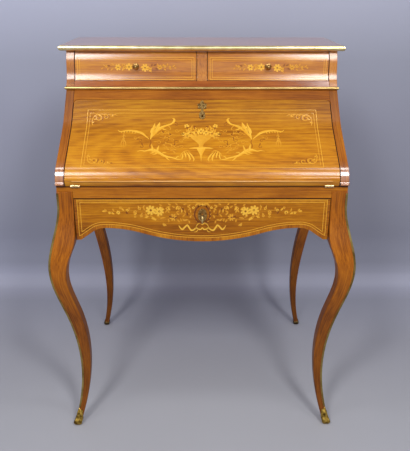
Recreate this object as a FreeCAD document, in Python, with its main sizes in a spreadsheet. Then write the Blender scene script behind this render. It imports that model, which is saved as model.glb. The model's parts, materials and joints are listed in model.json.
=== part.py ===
import FreeCAD, Part
import math
import os
import re
from types import SimpleNamespace

from FreeCAD import Placement, Rotation, Vector

# Lady's slant-front desk: cabriole legs, one wide drawer, an S-shaped fall flap and an upper row of
# two ogee-fronted drawers.  Millimetres, +Z up, front towards -Y, origin on the floor under the middle.
# Depths in the sheet count from the front plane of the legs towards the back.

DIMENSIONS = [
    ("case_width", 700, "outer faces of the side panels"),
    ("case_depth", 493, "front plane of the legs to the back plane"),
    ("floor_height", 666, "writing surface"),
    ("floor_thick", 13.5, "writing board"),
    ("panel_thick", 21, "side panels"),
    ("back_thick", 8, "back panel"),
    ("back_inset", 2, "back panel set in from the back plane"),
    ("leg_size", 38, "square of the leg tops"),
    ("front_set", 2.3, "rail, writing board and drawer behind the front plane"),
    ("fit_gap", 0.8, "gap round moving wooden fronts"),
    ("slide_gap", 0.4, "gap under and over sliding wood"),
    # top board
    ("top_side", 17.5, "overhang of the top at each side, with its brass edge"),
    ("top_nose", 14, "overhang of the top in front of the ogee, with its brass edge"),
    ("top_back", 7, "overhang of the top at the back"),
    ("top_thick", 13, "top board"),
    ("edge_depth", 6, "brass edge of the top board"),
    # slope
    ("pivot_set", 2, "flap pivot behind the front plane"),
    ("flap_tilt", 39.1, "slope of the flap's inner face, degrees"),
    ("flap_length", 250, "flap along its inner face"),
    ("flap_edge", 10, "slope in front of the flap's inner face, at the pivot"),
    ("flap_heel", 7, "square edge of the flap that stops against the writing board"),
    ("flap_lip", 16.5, "lip of the flap above the writing surface"),
    ("panel_lip", 4.5, "lip of the side panels above the writing surface"),
    ("lip_proud", 5, "lips in front of the bulge"),
    ("lip_tall", 3.5, "face of the lips"),
    ("flap_corner", 12, "rounding of the flap's upper corners"),
    ("bulge_radius", 45, "round of the slope above the lower edge"),
    ("lower_ease", 6.1, "slope above the bulge, degrees flatter than the flap"),
    ("lower_run", 118, "straight run above the bulge"),
    ("hollow_radius", 150, "hollow of the slope"),
    ("upper_lift", 6.9, "slope above the hollow, degrees steeper than the flap"),
    ("header_rise", 21.87, "header rail, from the flap's upper edge to the brass strip"),
    # upper row
    ("strip_tall", 8, "brass strip"),
    ("strip_proud", 4, "brass strip in front of the wood"),
    ("upper_rail", 21, "height of the rail behind the strip"),
    ("upper_rail_lean", 10, "rail's top edge behind the strip"),
    ("upper_rail_depth", 38, "rail, front to back"),
    ("upper_floor", 10, "board under the upper drawers"),
    ("ogee_lean", 30, "lean of the ogee at its ends, degrees"),
    ("ogee_waist", 5, "lean of the ogee at its middle, degrees"),
    ("upper_tall", 74, "opening of the upper drawers"),
    ("ogee_band", 4, "plain band above the ogee"),
    ("post_width", 26, "centre post"),
    ("post_depth", 30, "centre post behind the top of the ogee"),
    ("divider_thick", 12, "divider behind the post"),
    # large drawer
    ("rail_height", 18, "front rail under the writing board"),
    ("rail_depth", 30, "front rail"),
    ("drawer_front", 20, "thickness of the large drawer's front"),
    ("drawer_drop", 112.5, "serpentine edge under the front rail, at its centre"),
    ("peak_drop", 76.5, "serpentine edge under the front rail, at its peaks"),
    ("end_drop", 107.5, "serpentine edge under the front rail, at its ends"),
    ("drawer_arch", 72, "length of the serpentine edge's arched ends"),
    ("edge_foot", 12, "level foot of the arched ends"),
    ("edge_turn", 0.38, "turn of the serpentine edge between peak and centre, share of the way"),
    ("drawer_wall", 12, "sides and back"),
    ("drawer_deep", 64.5, "front rail down to the runners"),
    ("drawer_back_gap", 35, "room behind the large drawer"),
    ("drawer_side_set", 7, "drawer sides inside the legs"),
    ("drawer_base", 6, "bottom board"),
    ("runner_tall", 13, "runners under the drawer sides"),
    ("apron_thick", 18, "side and back aprons"),
    ("apron_set", 3, "aprons behind the legs' outer faces"),
    ("apron_drop", 101.5, "apron edge under the front rail's edge, at its centre"),
    ("apron_peak_drop", 79, "apron edge under the front rail's edge, at its peaks"),
    ("apron_arch", 60, "length of the apron edge's arched ends"),
    # cabriole legs
    ("shoulder_drop", 48, "outer edge leaves the square, below the writing surface"),
    ("spring_drop", 126, "inner edge leaves the square, below the writing surface"),
    ("knee_drop", 196, "knee below the writing surface"),
    ("knee_out", 28.5, "knee outside the square"),
    ("knee_size", 45, "leg at the knee"),
    ("shank_height", 328, "leg crosses the line of the square"),
    ("shank_size", 34, "leg below the knee"),
    ("ankle_height", 165, "ankle"),
    ("ankle_in", 27, "ankle inside the square"),
    ("ankle_size", 24, "leg at the ankle"),
    ("toe_in", 4.5, "toe inside the square"),
    ("toe_size", 16.5, "foot"),
    ("toe_kick", 0.33, "outward slope of the foot at the toe"),
    ("rake_height", 450, "front legs start to lean forward"),
    ("toe_rake", 52.5, "forward lean of the front feet"),
    ("back_spread", 0.78, "curve of the back legs to the sides, share of the front legs' curve"),
    ("back_tuck", 5, "back legs drawn in from the knee downwards"),
    ("back_slim", 0.9, "width of the back legs below the square, share of the front legs' width"),
    ("back_share", 0.25, "curve of the back legs to the rear, share of the front legs' curve"),
    ("sabot_wall", 1.6, "brass of the sabots"),
    ("sabot_sole", 7, "rounded sole of the sabots"),
    ("sabot_tip", 46, "point of the front sabots on the outer arris"),
    ("sabot_rim", 20, "front sabots at the inner corner"),
    ("cap_tip", 22, "point of the back sabots on the outer arris"),
    ("cap_rim", 14, "back sabots at the inner corner"),
    ("arris_band", 4, "width of the brass arris strips"),
    ("arris_wall", 0.8, "brass of the arris strips"),
    ("brass_gap", 0.15, "brass round the wood of the legs"),
    # brass fittings
    ("hinge_inset", 25, "middle of the hinges inside the side panels"),
    ("hinge_length", 22, "hinges along the edge"),
    ("leaf_width", 24, "hinge leaves"),
    ("leaf_thick", 2, "hinge leaves"),
    ("knuckle_radius", 4.2, "hinge knuckles"),
    ("pin_radius", 1.5, "hinge pins"),
    ("pin_gap", 0.05, "pin in its knuckles"),
    ("knuckle_gap", 0.3, "between knuckles and round them"),
    ("lock_width", 56, "lock cases"),
    ("lock_depth", 8, "lock cases"),
    ("lock_length", 56, "lock case of the large drawer, along its bolt"),
    ("flap_lock_length", 59, "lock case of the flap, along its bolt"),
    ("bolt_width", 16, "bolts"),
    ("bolt_thick", 3.6, "bolts"),
    ("bolt_length", 20, "bolts"),
    ("bolt_throw", 6, "travel of the bolts"),
    ("bolt_gap", 0.3, "bolts in their cases"),
    ("key_drop", 42.5, "keyhole of the large drawer under the front rail"),
    ("key_radius", 2.2, "key shank"),
    ("key_gap", 0.4, "key in the lock"),
    ("plate_thick", 1.5, "key plates"),
    ("knob_radius", 6, "knobs"),
    ("knob_stand", 18, "knobs in front of the wood"),
    # inside of the desk
    ("leather_thick", 1.2, "leather let into the wood"),
    ("leather_margin", 32, "wood round the leather"),
    ("nest_front", 300, "front of the fitted inside"),
    ("partition_x", 110, "middle of the partitions from the centre"),
    ("partition_thick", 8, "partitions and shelves"),
    ("small_tall", 70, "writing surface to the underside of the shelves"),
    ("small_front", 14, "fronts of the small drawers, thinnest"),
    ("small_wall", 8, "sides and backs of the small drawers"),
    ("small_base", 5, "bottoms of the small drawers"),
]

DERIVED = [
    ("front_y", "=(toe_rake - toe_in + sabot_wall - case_depth - top_back) / 2"),
    ("panel_in", "=case_width / 2 - panel_thick"),
    ("apron_in", "=case_width / 2 - apron_set - apron_thick"),
    ("leg_in", "=case_width / 2 - leg_size"),
    ("top_half", "=case_width / 2 + top_side"),
    ("hinge_x", "=panel_in - hinge_inset"),
    ("leg_top", "=floor_height - floor_thick"),
    ("rail_low", "=floor_height - floor_thick - rail_height"),
    ("case_in", "=case_depth - back_inset - back_thick"),
    ("drawer_side_x", "=leg_in - drawer_side_set"),
    ("drawer_length", "=case_depth - apron_set - apron_thick - drawer_back_gap"),
    ("drawer_floor", "=rail_low - drawer_deep"),
    ("drawer_peak_x", "=leg_in - fit_gap - drawer_arch"),
    ("key_height", "=rail_low - key_drop"),
    ("shelf_height", "=floor_height + small_tall"),
    ("shoulder_height", "=floor_height - shoulder_drop"),
    ("spring_height", "=floor_height - spring_drop"),
    ("knee_height", "=floor_height - knee_drop"),
    ("lower_slope", "=flap_tilt - lower_ease"),
    ("upper_slope", "=flap_tilt + upper_lift"),
    ("bulge_y", "=bulge_radius * (1 - sin(lower_slope)) - flap_edge * sin(flap_tilt)"),
    ("bulge_z", "=bulge_radius * cos(lower_slope) + flap_edge * cos(flap_tilt)"),
    ("run_y", "=bulge_y + lower_run * cos(lower_slope)"),
    ("run_z", "=bulge_z + lower_run * sin(lower_slope)"),
    ("hollow_y", "=run_y + hollow_radius * (sin(upper_slope) - sin(lower_slope))"),
    ("hollow_z", "=run_z + hollow_radius * (cos(lower_slope) - cos(upper_slope))"),
    ("hollow_reach", "=hollow_y * cos(flap_tilt) + hollow_z * sin(flap_tilt)"),
    ("flap_rise", "=hollow_z + (flap_length - hollow_reach) * sin(upper_slope) / cos(upper_lift)"),
    ("strip_height", "=floor_height + flap_rise + header_rise"),
    ("upper_low", "=strip_height + upper_rail"),
    ("upper_top", "=upper_low + upper_tall"),
    ("ogee_tall", "=upper_tall - ogee_band"),
]

doc = FreeCAD.newDocument("slant_front_desk")
sheet = doc.addObject("Spreadsheet::Sheet", "Dimensions")
for row, (name, value, note) in enumerate(DIMENSIONS, 1):
    sheet.set("A%d" % row, note)
    sheet.set("B%d" % row, str(value))
    sheet.setAlias("B%d" % row, name)
for row, (name, text) in enumerate(DERIVED, len(DIMENSIONS) + 1):
    sheet.set("A%d" % row, "derived")
    sheet.set("B%d" % row, text)
    sheet.setAlias("B%d" % row, name)
doc.recompute()

ALIASES = [entry[0] for entry in DIMENSIONS + DERIVED]
ALIAS_WORD = re.compile(r"\b(%s)\b" % "|".join(ALIASES))
d = SimpleNamespace(**{name: float(sheet.get(name)) for name in ALIASES})
parts = {}


def formula(text):
    return ALIAS_WORD.sub(r"Dimensions.\1", str(text))


def bind(thing, **formulas):
    for prop, text in formulas.items():
        thing.setExpression(prop, formula(text))


def place(thing, x="0", y="0", z="0"):
    """Bind a position; y counts from the front plane of the legs."""
    for axis, text in (("x", x), ("y", "front_y + (%s)" % y), ("z", z)):
        thing.setExpression("Placement.Base." + axis, formula(text))


def keep(label, *things):
    """File one object, or several separate solids as a group, under the name of a node."""
    node = things[0]
    if len(things) > 1:
        node = doc.addObject("Part::Compound", label)
        node.Links = list(things)
    node.Label = label
    parts[label] = node
    return node


def board(label, x, y, z):
    """Rectangular board from (start, size) formulas along each axis."""
    box = doc.addObject("Part::Box", label)
    bind(box, Length=x[1], Width=y[1], Height=z[1])
    place(box, x[0], y[0], z[0])
    return box


def rod(label, axis, radius, length, x, y, z):
    """Cylinder along +X or +Y from its start point."""
    cylinder = doc.addObject("Part::Cylinder", label)
    turn = Rotation(Vector(0, 1, 0), 90) if axis == "x" else Rotation(Vector(1, 0, 0), -90)
    cylinder.Placement = Placement(Vector(), turn)
    bind(cylinder, Radius=radius, Height=length)
    place(cylinder, x, y, z)
    return cylinder


def on_flap(label, x, s, t):
    """Box in the flap's own frame: x across, s up the inner face from the pivot, t outwards."""
    box = doc.addObject("Part::Box", label)
    box.Placement = Placement(Vector(), Rotation(Vector(1, 0, 0), 1))
    bind(box, Length=x[1], Width=s[1], Height=t[1])
    box.setExpression("Placement.Rotation.Angle", formula("flap_tilt"))
    up, out = "(%s)" % s[0], "(%s)" % t[0]
    place(
        box,
        x[0],
        "pivot_set + %s * cos(flap_tilt) - %s * sin(flap_tilt)" % (up, out),
        "floor_height + %s * sin(flap_tilt) + %s * cos(flap_tilt)" % (up, out),
    )
    return box


def fuse(label, *things):
    joined = doc.addObject("Part::MultiFuse", label)
    joined.Shapes = list(things)
    return joined


def cut(label, base, *tools):
    result = doc.addObject("Part::Cut", label)
    result.Base = base
    result.Tool = tools[0] if len(tools) == 1 else fuse(label + "_tools", *tools)
    return result


def common(label, *things):
    result = doc.addObject("Part::MultiCommon", label)
    result.Shapes = list(things)
    return result


class Path:
    """Closed outline drawn from point to point with lines and arcs."""

    def __init__(self, *start):
        self.first = self.at = Vector(*start)
        self.pieces = []

    def line(self, *points):
        for point in points:
            end = Vector(*point)
            if end.distanceToPoint(self.at) > 1e-6:
                self.pieces.append(Part.LineSegment(self.at, end))
                self.at = end
        return self

    def arc(self, through, end):
        self.pieces.append(Part.Arc(self.at, Vector(*through), Vector(*end)))
        self.at = Vector(*end)
        return self

    def close(self):
        return self.line((self.first.x, self.first.y)).pieces


PLANES = {"YZ": Rotation(Vector(1, 1, 1), 120), "XZ": Rotation(Vector(1, 0, 0), 90)}


def padded(label, plane, outline, length, x="0", y="0", z="0"):
    """Body padded from an outline: along +X from the YZ plane, along +Y from the XZ plane."""
    body = doc.addObject("PartDesign::Body", label)
    sketch = body.newObject("Sketcher::SketchObject", label + "_outline")
    origin = [item for item in body.Origin.OriginFeatures if item.Role == plane + "_Plane"]
    sketch.AttachmentSupport = (origin[0], [""])
    sketch.MapMode = "FlatFace"
    sketch.addGeometry(outline, False)
    pad = body.newObject("PartDesign::Pad", label + "_pad")
    pad.Profile = sketch
    pad.Reversed = plane == "XZ"
    bind(pad, Length=length)
    place(body, x, y, z)
    return body


def swept(label, outline, route):
    """Moulding of one section along a route with mitred corners, both in world axes."""
    section = doc.addObject("Part::Feature", label + "_section")
    section.Shape = Part.Wire([piece.toShape() for piece in outline])
    spine = doc.addObject("Part::Feature", label + "_route")
    spine.Shape = Part.makePolygon(route)
    sweep = doc.addObject("Part::Sweep", label)
    sweep.Sections = [section]
    sweep.Spine = (spine, ["Edge%d" % (i + 1) for i in range(len(route) - 1)])
    sweep.Solid = True
    sweep.Transition = "Right corner"
    return sweep


def turned(label, outline, x, y, z):
    """Body turned about an axis along Y; outline points are (radius, depth)."""
    body = doc.addObject("PartDesign::Body", label)
    sketch = body.newObject("Sketcher::SketchObject", label + "_outline")
    origin = [item for item in body.Origin.OriginFeatures if item.Role == "XY_Plane"]
    sketch.AttachmentSupport = (origin[0], [""])
    sketch.MapMode = "FlatFace"
    sketch.addGeometry(outline, False)
    turn = body.newObject("PartDesign::Revolution", label + "_turn")
    turn.Profile = sketch
    turn.ReferenceAxis = (sketch, ["V_Axis"])
    turn.Angle = 360
    place(body, x, y, z)
    return body


# The slope: one S-shaped line that the panels, the flap and the header rail share.


def heading(degrees):
    return Vector(math.cos(math.radians(degrees)), math.sin(math.radians(degrees)))


def outward(degrees):
    return heading(degrees + 90)


pivot = Vector(d.pivot_set, d.floor_height)


def slope(offset=0):
    """Key points of the S-line, moved outwards by an offset."""
    edge = pivot + outward(d.flap_tilt) * d.flap_edge
    bulge = edge + Vector(d.bulge_radius, 0)
    bulge_end = bulge + outward(d.lower_slope) * d.bulge_radius
    run_end = bulge_end + heading(d.lower_slope) * d.lower_run
    hollow = run_end + outward(d.lower_slope) * d.hollow_radius
    middle = (d.lower_slope + d.upper_slope) / 2
    hollow_end = hollow - outward(d.upper_slope) * d.hollow_radius
    rise = (d.strip_height - hollow_end.y) / math.sin(math.radians(d.upper_slope))
    return SimpleNamespace(
        bulge=bulge,
        bulge_end=bulge_end + outward(d.lower_slope) * offset,
        run_end=run_end + outward(d.lower_slope) * offset,
        hollow_mid=hollow - outward(middle) * (d.hollow_radius - offset),
        hollow_end=hollow_end + outward(d.upper_slope) * offset,
        top=hollow_end + heading(d.upper_slope) * rise + outward(d.upper_slope) * offset,
    )


def up_slope(path, line, end):
    path.line(line.bulge_end, line.run_end).arc(line.hollow_mid, line.hollow_end)
    return path.line(end)


def down_slope(path, line):
    return path.line(line.hollow_end).arc(line.hollow_mid, line.run_end).line(line.bulge_end)


def slope_at(reach, offset=0):
    """Point of the upper straight of the S-line, by its distance up the flap from the pivot."""
    start = slope(offset).hollow_end
    direction = heading(d.upper_slope)
    gain = heading(d.flap_tilt).dot(direction)
    return start + direction * ((reach - heading(d.flap_tilt).dot(start - pivot)) / gain)


def flap_point(s, t):
    return pivot + heading(d.flap_tilt) * s + outward(d.flap_tilt) * t


def rounded_top(label, box, reach, radius):
    """Fillet the two corners of a flap-shaped box that lie furthest up the flap."""
    doc.recompute()
    numbers = []
    for number, edge in enumerate(box.Shape.Edges, 1):
        ends = [vertex.Point for vertex in edge.Vertexes]
        flat = [Vector(point.y - d.front_y, point.z) - pivot for point in ends]
        at_top = all(abs(heading(d.flap_tilt).dot(point) - reach) < 0.01 for point in flat)
        if at_top and abs(ends[0].x - ends[1].x) < 0.01:
            numbers.append(number)
    fillet = doc.addObject("Part::Fillet", label)
    fillet.Base = box
    fillet.Edges = [(number, radius, radius) for number in numbers]
    return fillet


line = slope()


def bulge_at(height):
    """Point of the bulge at a height, in front of its centre."""
    reach = math.sqrt(d.bulge_radius ** 2 - (height - line.bulge.y) ** 2)
    return Vector(line.bulge.x - reach, height)


def lip(path, low):
    """Lip at the foot of the slope and the bulge above it: a flat face, a cove and a round."""
    cove = low + d.lip_tall
    top = bulge_at(cove + d.lip_proud)
    front = top.x - d.lip_proud
    near = math.sqrt(0.5)
    path.line((front, low), (front, cove))
    path.arc((front + d.lip_proud * near, cove + d.lip_proud * (1 - near)), top)
    return path.arc(bulge_at((top.y + line.bulge_end.y) / 2), line.bulge_end)


strip_face = line.top.x
rail_face = strip_face + d.upper_rail_lean


def ogee(path, low, high, back=0):
    """Ogee face from the height low to the height high, set back behind the shared line."""
    reach = (d.ogee_tall / 2) / (
        math.sin(math.radians(d.ogee_lean)) - math.sin(math.radians(d.ogee_waist))
    )

    def at(height):
        share = max(0, min(1, (height - d.upper_low) / d.ogee_tall))
        near = math.sin(math.radians(d.ogee_lean))
        half = min(share, 1 - share)
        lean = math.asin(near - half * d.ogee_tall / reach)
        depth = reach * (math.cos(lean) - math.cos(math.radians(d.ogee_lean)))
        whole = 2 * reach * (
            math.cos(math.radians(d.ogee_waist)) - math.cos(math.radians(d.ogee_lean))
        )
        return Vector(rail_face + back + (depth if share < 0.5 else whole - depth), height)

    waist = d.upper_low + d.ogee_tall / 2
    crest = d.upper_low + d.ogee_tall
    path.line(at(low)).arc(at((low + waist) / 2), at(waist))
    path.arc(at((waist + crest) / 2), at(crest))
    return path.line((at(crest).x, high))


ogee_depth = d.ogee_tall * math.tan(math.radians((d.ogee_lean + d.ogee_waist) / 2))
ogee_top = rail_face + ogee_depth
post_back = ogee_top + d.post_depth
top_front = ogee_top - d.top_nose


# Side panels, back, header rail and the boards of the upper row


def panel_outline():
    foot = d.floor_height + d.panel_lip
    path = lip(Path(d.front_set, d.floor_height).line((d.front_set, foot)), foot)
    up_slope(path, line, line.top)
    path.line((strip_face, d.strip_height + d.strip_tall))
    ogee(path, d.upper_low, d.upper_top)
    path.line((d.case_depth, d.upper_top), (d.case_depth, d.floor_height))
    return path.close()


keep("left_side_panel", padded("left_panel", "YZ", panel_outline(), "panel_thick", "-case_width / 2"))
keep("right_side_panel", padded("right_panel", "YZ", panel_outline(), "panel_thick", "panel_in"))
keep("back_panel", board(
    "back_board",
    ("-panel_in", "2 * panel_in"),
    ("case_in", "back_thick"),
    ("floor_height", "upper_top - floor_height"),
))

rail_back = strip_face + d.upper_rail_depth
header_low = flap_point(d.flap_length - d.flap_corner, -2)
header_front = slope_at(d.flap_length - d.flap_corner)
header_heel = flap_point(d.flap_length + 10, -2)
header_path = Path(header_low.x, header_low.y).line(header_front, line.top, (rail_back, d.strip_height))
header_path.line((rail_back, header_heel.y), header_heel)
header_blank = padded("header_blank", "YZ", header_path.close(), "2 * panel_in", "-panel_in")
flap_room = on_flap(
    "flap_room",
    ("-panel_in", "2 * panel_in"),
    ("0", "flap_length + fit_gap"),
    ("-20", "80"),
)
bolt_slot = on_flap(
    "flap_bolt_slot",
    ("-bolt_width / 2 - 2 * bolt_gap", "bolt_width + 4 * bolt_gap"),
    ("flap_length", "bolt_throw + 4"),
    ("lock_depth / 2 - bolt_thick / 2 - 2 * bolt_gap", "bolt_thick + 4 * bolt_gap"),
)

rail_path = Path(strip_face, d.strip_height).line((strip_face, d.strip_height + d.strip_tall))
rail_path.line((rail_face, d.upper_low), (rail_back, d.upper_low), (rail_back, d.strip_height))
keep("upper_front_rail", padded(
    "upper_rail_body", "YZ", rail_path.close(), "2 * panel_in", "-panel_in"
))
keep("upper_bottom_board", board(
    "upper_bottom",
    ("-panel_in", "2 * panel_in"),
    (rail_back, "case_in - %r" % rail_back),
    ("upper_low - upper_floor", "upper_floor"),
))
post_path = ogee(Path(rail_face, d.upper_low), d.upper_low, d.upper_top)
post_path.line((post_back, d.upper_top), (post_back, d.upper_low))
keep("centre_post", padded("post_body", "YZ", post_path.close(), "post_width", "-post_width / 2"))
keep("upper_divider", board(
    "divider",
    ("-divider_thick / 2", "divider_thick"),
    (post_back, "case_in - %r" % post_back),
    ("upper_low", "upper_top - upper_low"),
))

# Top board, its brass edge and the brass strip below the upper row

keep("top_board", board(
    "top_wood",
    ("edge_depth - top_half", "2 * (top_half - edge_depth)"),
    ("edge_depth + %r" % top_front, "case_depth + top_back - edge_depth - %r" % top_front),
    ("upper_top", "top_thick"),
))


def moulding(label, half_width, front, back, low, tall, proud):
    """Round-faced brass band along both sides and the front."""
    y_front, y_back = front + d.front_y, back + d.front_y
    section = [
        Part.LineSegment(Vector(-half_width, y_back, low), Vector(-half_width, y_back, low + tall)),
        Part.Arc(
            Vector(-half_width, y_back, low + tall),
            Vector(-half_width - proud, y_back, low + tall / 2),
            Vector(-half_width, y_back, low),
        ),
    ]
    route = [
        Vector(-half_width, y_back, low),
        Vector(-half_width, y_front, low),
        Vector(half_width, y_front, low),
        Vector(half_width, y_back, low),
    ]
    return swept(label, section, route)


keep("top_brass_edge", moulding(
    "top_edge_sweep",
    d.top_half - d.edge_depth,
    top_front + d.edge_depth,
    d.case_depth + d.top_back,
    d.upper_top,
    d.top_thick,
    d.edge_depth,
))
keep("brass_strip", moulding(
    "strip_sweep",
    d.case_width / 2,
    strip_face,
    d.case_depth,
    d.strip_height,
    d.strip_tall,
    d.strip_proud,
))

# Writing board with its leather, hinge recesses and the flap


def hinge_side(side):
    return "%s hinge_x - hinge_length / 2" % side


def hinge_room(label, side, wide):
    """Round room for the knuckles, a little longer than the hinge."""
    return rod(
        label,
        "x",
        "knuckle_radius + %s" % wide,
        "hinge_length + 2 * knuckle_gap",
        hinge_side(side) + " - knuckle_gap",
        "pivot_set",
        "floor_height",
    )


floor_blank = board(
    "floor_blank",
    ("-case_width / 2", "case_width"),
    ("front_set", "case_depth - front_set"),
    ("leg_top", "floor_thick"),
)
floor_cuts = [board(
    "floor_leather_room",
    ("leather_margin - panel_in", "2 * (panel_in - leather_margin)"),
    ("2 * leather_margin", "nest_front - 3 * leather_margin"),
    ("floor_height - leather_thick", "leather_thick + 1"),
)]
flap_cuts = [
    on_flap(
        "flap_leather_room",
        ("leather_margin - panel_in", "2 * (panel_in - leather_margin)"),
        ("leather_margin", "flap_length - flap_lock_length - 1.5 * leather_margin"),
        ("-1", "leather_thick + 1"),
    ),
    on_flap(
        "flap_lock_room",
        ("-lock_width / 2", "lock_width"),
        ("flap_length - flap_lock_length", "flap_lock_length + 1"),
        ("-1", "lock_depth + 1"),
    ),
]
for side, sign in (("left", "-"), ("right", "")):
    floor_cuts.append(hinge_room("floor_knuckle_room_" + side, sign, "knuckle_gap"))
    floor_cuts.append(board(
        "floor_leaf_room_" + side,
        (hinge_side(sign), "hinge_length"),
        ("0", "pivot_set + leaf_width"),
        ("floor_height - leaf_thick", "leaf_thick + 1"),
    ))
    flap_cuts.append(hinge_room("flap_knuckle_room_" + side, sign, "knuckle_gap"))
    flap_cuts.append(on_flap(
        "flap_leaf_room_" + side,
        (hinge_side(sign), "hinge_length"),
        ("-10", "leaf_width + 10"),
        ("-1", "leaf_thick + 1"),
    ))
keep("writing_board", cut("floor_cut", floor_blank, *floor_cuts))
keep("writing_leather", board(
    "floor_leather",
    ("leather_margin - panel_in + 0.2", "2 * (panel_in - leather_margin) - 0.4"),
    ("2 * leather_margin + 0.2", "nest_front - 3 * leather_margin - 0.4"),
    ("floor_height - leather_thick", "leather_thick"),
))

flap_path = lip(Path(pivot.x, pivot.y).line(flap_point(0, d.flap_heel)), d.floor_height + d.flap_lip)
up_slope(flap_path, line, slope_at(d.flap_length)).line(flap_point(d.flap_length, 0))
flap_blank = padded(
    "flap_blank", "YZ", flap_path.close(), "2 * (panel_in - fit_gap)", "fit_gap - panel_in"
)
flap_sheet = on_flap(
    "flap_sheet",
    ("fit_gap - panel_in", "2 * (panel_in - fit_gap)"),
    ("-20", "flap_length + 20"),
    ("-20", "80"),
)
flap_round = common(
    "flap_round", flap_blank, rounded_top("flap_sheet_round", flap_sheet, d.flap_length, d.flap_corner)
)
room_round = rounded_top(
    "flap_room_round", flap_room, d.flap_length + d.fit_gap, d.flap_corner + d.fit_gap
)
key_way = on_flap(
    "flap_key_way",
    ("-1.5", "3"),
    ("flap_length - flap_lock_length + 6", "9"),
    ("lock_depth / 2", "40"),
)
keep("flap", cut("flap_cut", flap_round, *flap_cuts, key_way))
keep("header_rail", cut("header_cut", header_blank, room_round, bolt_slot))
keep("flap_leather", on_flap(
    "flap_leather_sheet",
    ("leather_margin - panel_in + 0.2", "2 * (panel_in - leather_margin) - 0.4"),
    ("leather_margin + 0.2", "flap_length - flap_lock_length - 1.5 * leather_margin - 0.4"),
    ("0", "leather_thick"),
))

# Foliate lock plate lying on the hollow of the flap

plate_line = slope(d.plate_thick)
plate_end = slope_at(d.flap_length, d.plate_thick)
plate_path = up_slope(Path(line.bulge_end.x, line.bulge_end.y), plate_line, plate_end)
plate_path.line(slope_at(d.flap_length))
plate_shell = padded("plate_shell", "YZ", down_slope(plate_path, line).close(), "60", "-30")
plate_low = d.flap_length - d.flap_lock_length
plate_high = d.flap_length - 3


def leafy_plate():
    """Half outlines of scrolled leaves, mirrored: oval round the keyhole, neck, wide leaves and crest."""
    foot = Vector(0, plate_low)
    side = [
        ((5, plate_low + 3), (7.5, plate_low + 11)),
        ((6.5, plate_low + 19), (3.5, plate_low + 24)),
        ((2.8, plate_low + 28), (4.5, plate_low + 32)),
        ((10.5, plate_low + 33.5), (9, plate_low + 39)),
        ((12, plate_low + 42), (9.5, plate_low + 46.5)),
        ((6, plate_low + 47), (4.5, plate_high - 5)),
        ((3, plate_high - 1.5), (0, plate_high)),
    ]
    path = Path(foot.x, foot.y)
    for through, end in side:
        path.arc(through, end)
    back = [(0, plate_low)] + [end for through, end in side[:-1]]
    for (through, end), start in zip(reversed(side), reversed(back)):
        path.arc((-through[0], through[1]), (-start[0], start[1]))
    return path.pieces


plate_sketch = doc.addObject("Sketcher::SketchObject", "plate_outline")
plate_sketch.addGeometry(leafy_plate(), False)
plate_sketch.Placement = Placement(
    Vector(0, d.pivot_set + d.front_y, d.floor_height), Rotation(Vector(1, 0, 0), d.flap_tilt)
)
plate_prism = doc.addObject("Part::Extrusion", "plate_prism")
plate_prism.Base = plate_sketch
plate_prism.DirMode = "Normal"
plate_prism.LengthFwd = 60
plate_prism.Solid = True
keep("flap_lock_plate", cut(
    "flap_plate_cut", common("flap_plate_blank", plate_shell, plate_prism), key_way
))

# Locks: a case let into the wood and a bolt that slides in it

flap_lock_case = on_flap(
    "flap_lock_body",
    ("-lock_width / 2", "lock_width"),
    ("flap_length - flap_lock_length", "flap_lock_length"),
    ("0", "lock_depth"),
)
flap_lock_slot = on_flap(
    "flap_lock_slot",
    ("-bolt_width / 2 - bolt_gap", "bolt_width + 2 * bolt_gap"),
    ("flap_length - bolt_length - 2 * bolt_gap", "bolt_length + 10"),
    ("lock_depth / 2 - bolt_thick / 2 - bolt_gap", "bolt_thick + 2 * bolt_gap"),
)
keep("flap_lock", cut("flap_lock_cut", flap_lock_case, flap_lock_slot, key_way))
keep("flap_lock_bolt", on_flap(
    "flap_bolt",
    ("-bolt_width / 2", "bolt_width"),
    ("flap_length - bolt_length - bolt_gap", "bolt_length"),
    ("lock_depth / 2 - bolt_thick / 2", "bolt_thick"),
))

# Butt hinges on the edge of the writing board: two knuckles on the fixed leaf, one on the flap's


def knuckle(label, sign, start, length, radius):
    return rod(
        label, "x", radius, length, "%s + %s" % (hinge_side(sign), start), "pivot_set", "floor_height"
    )


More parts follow.
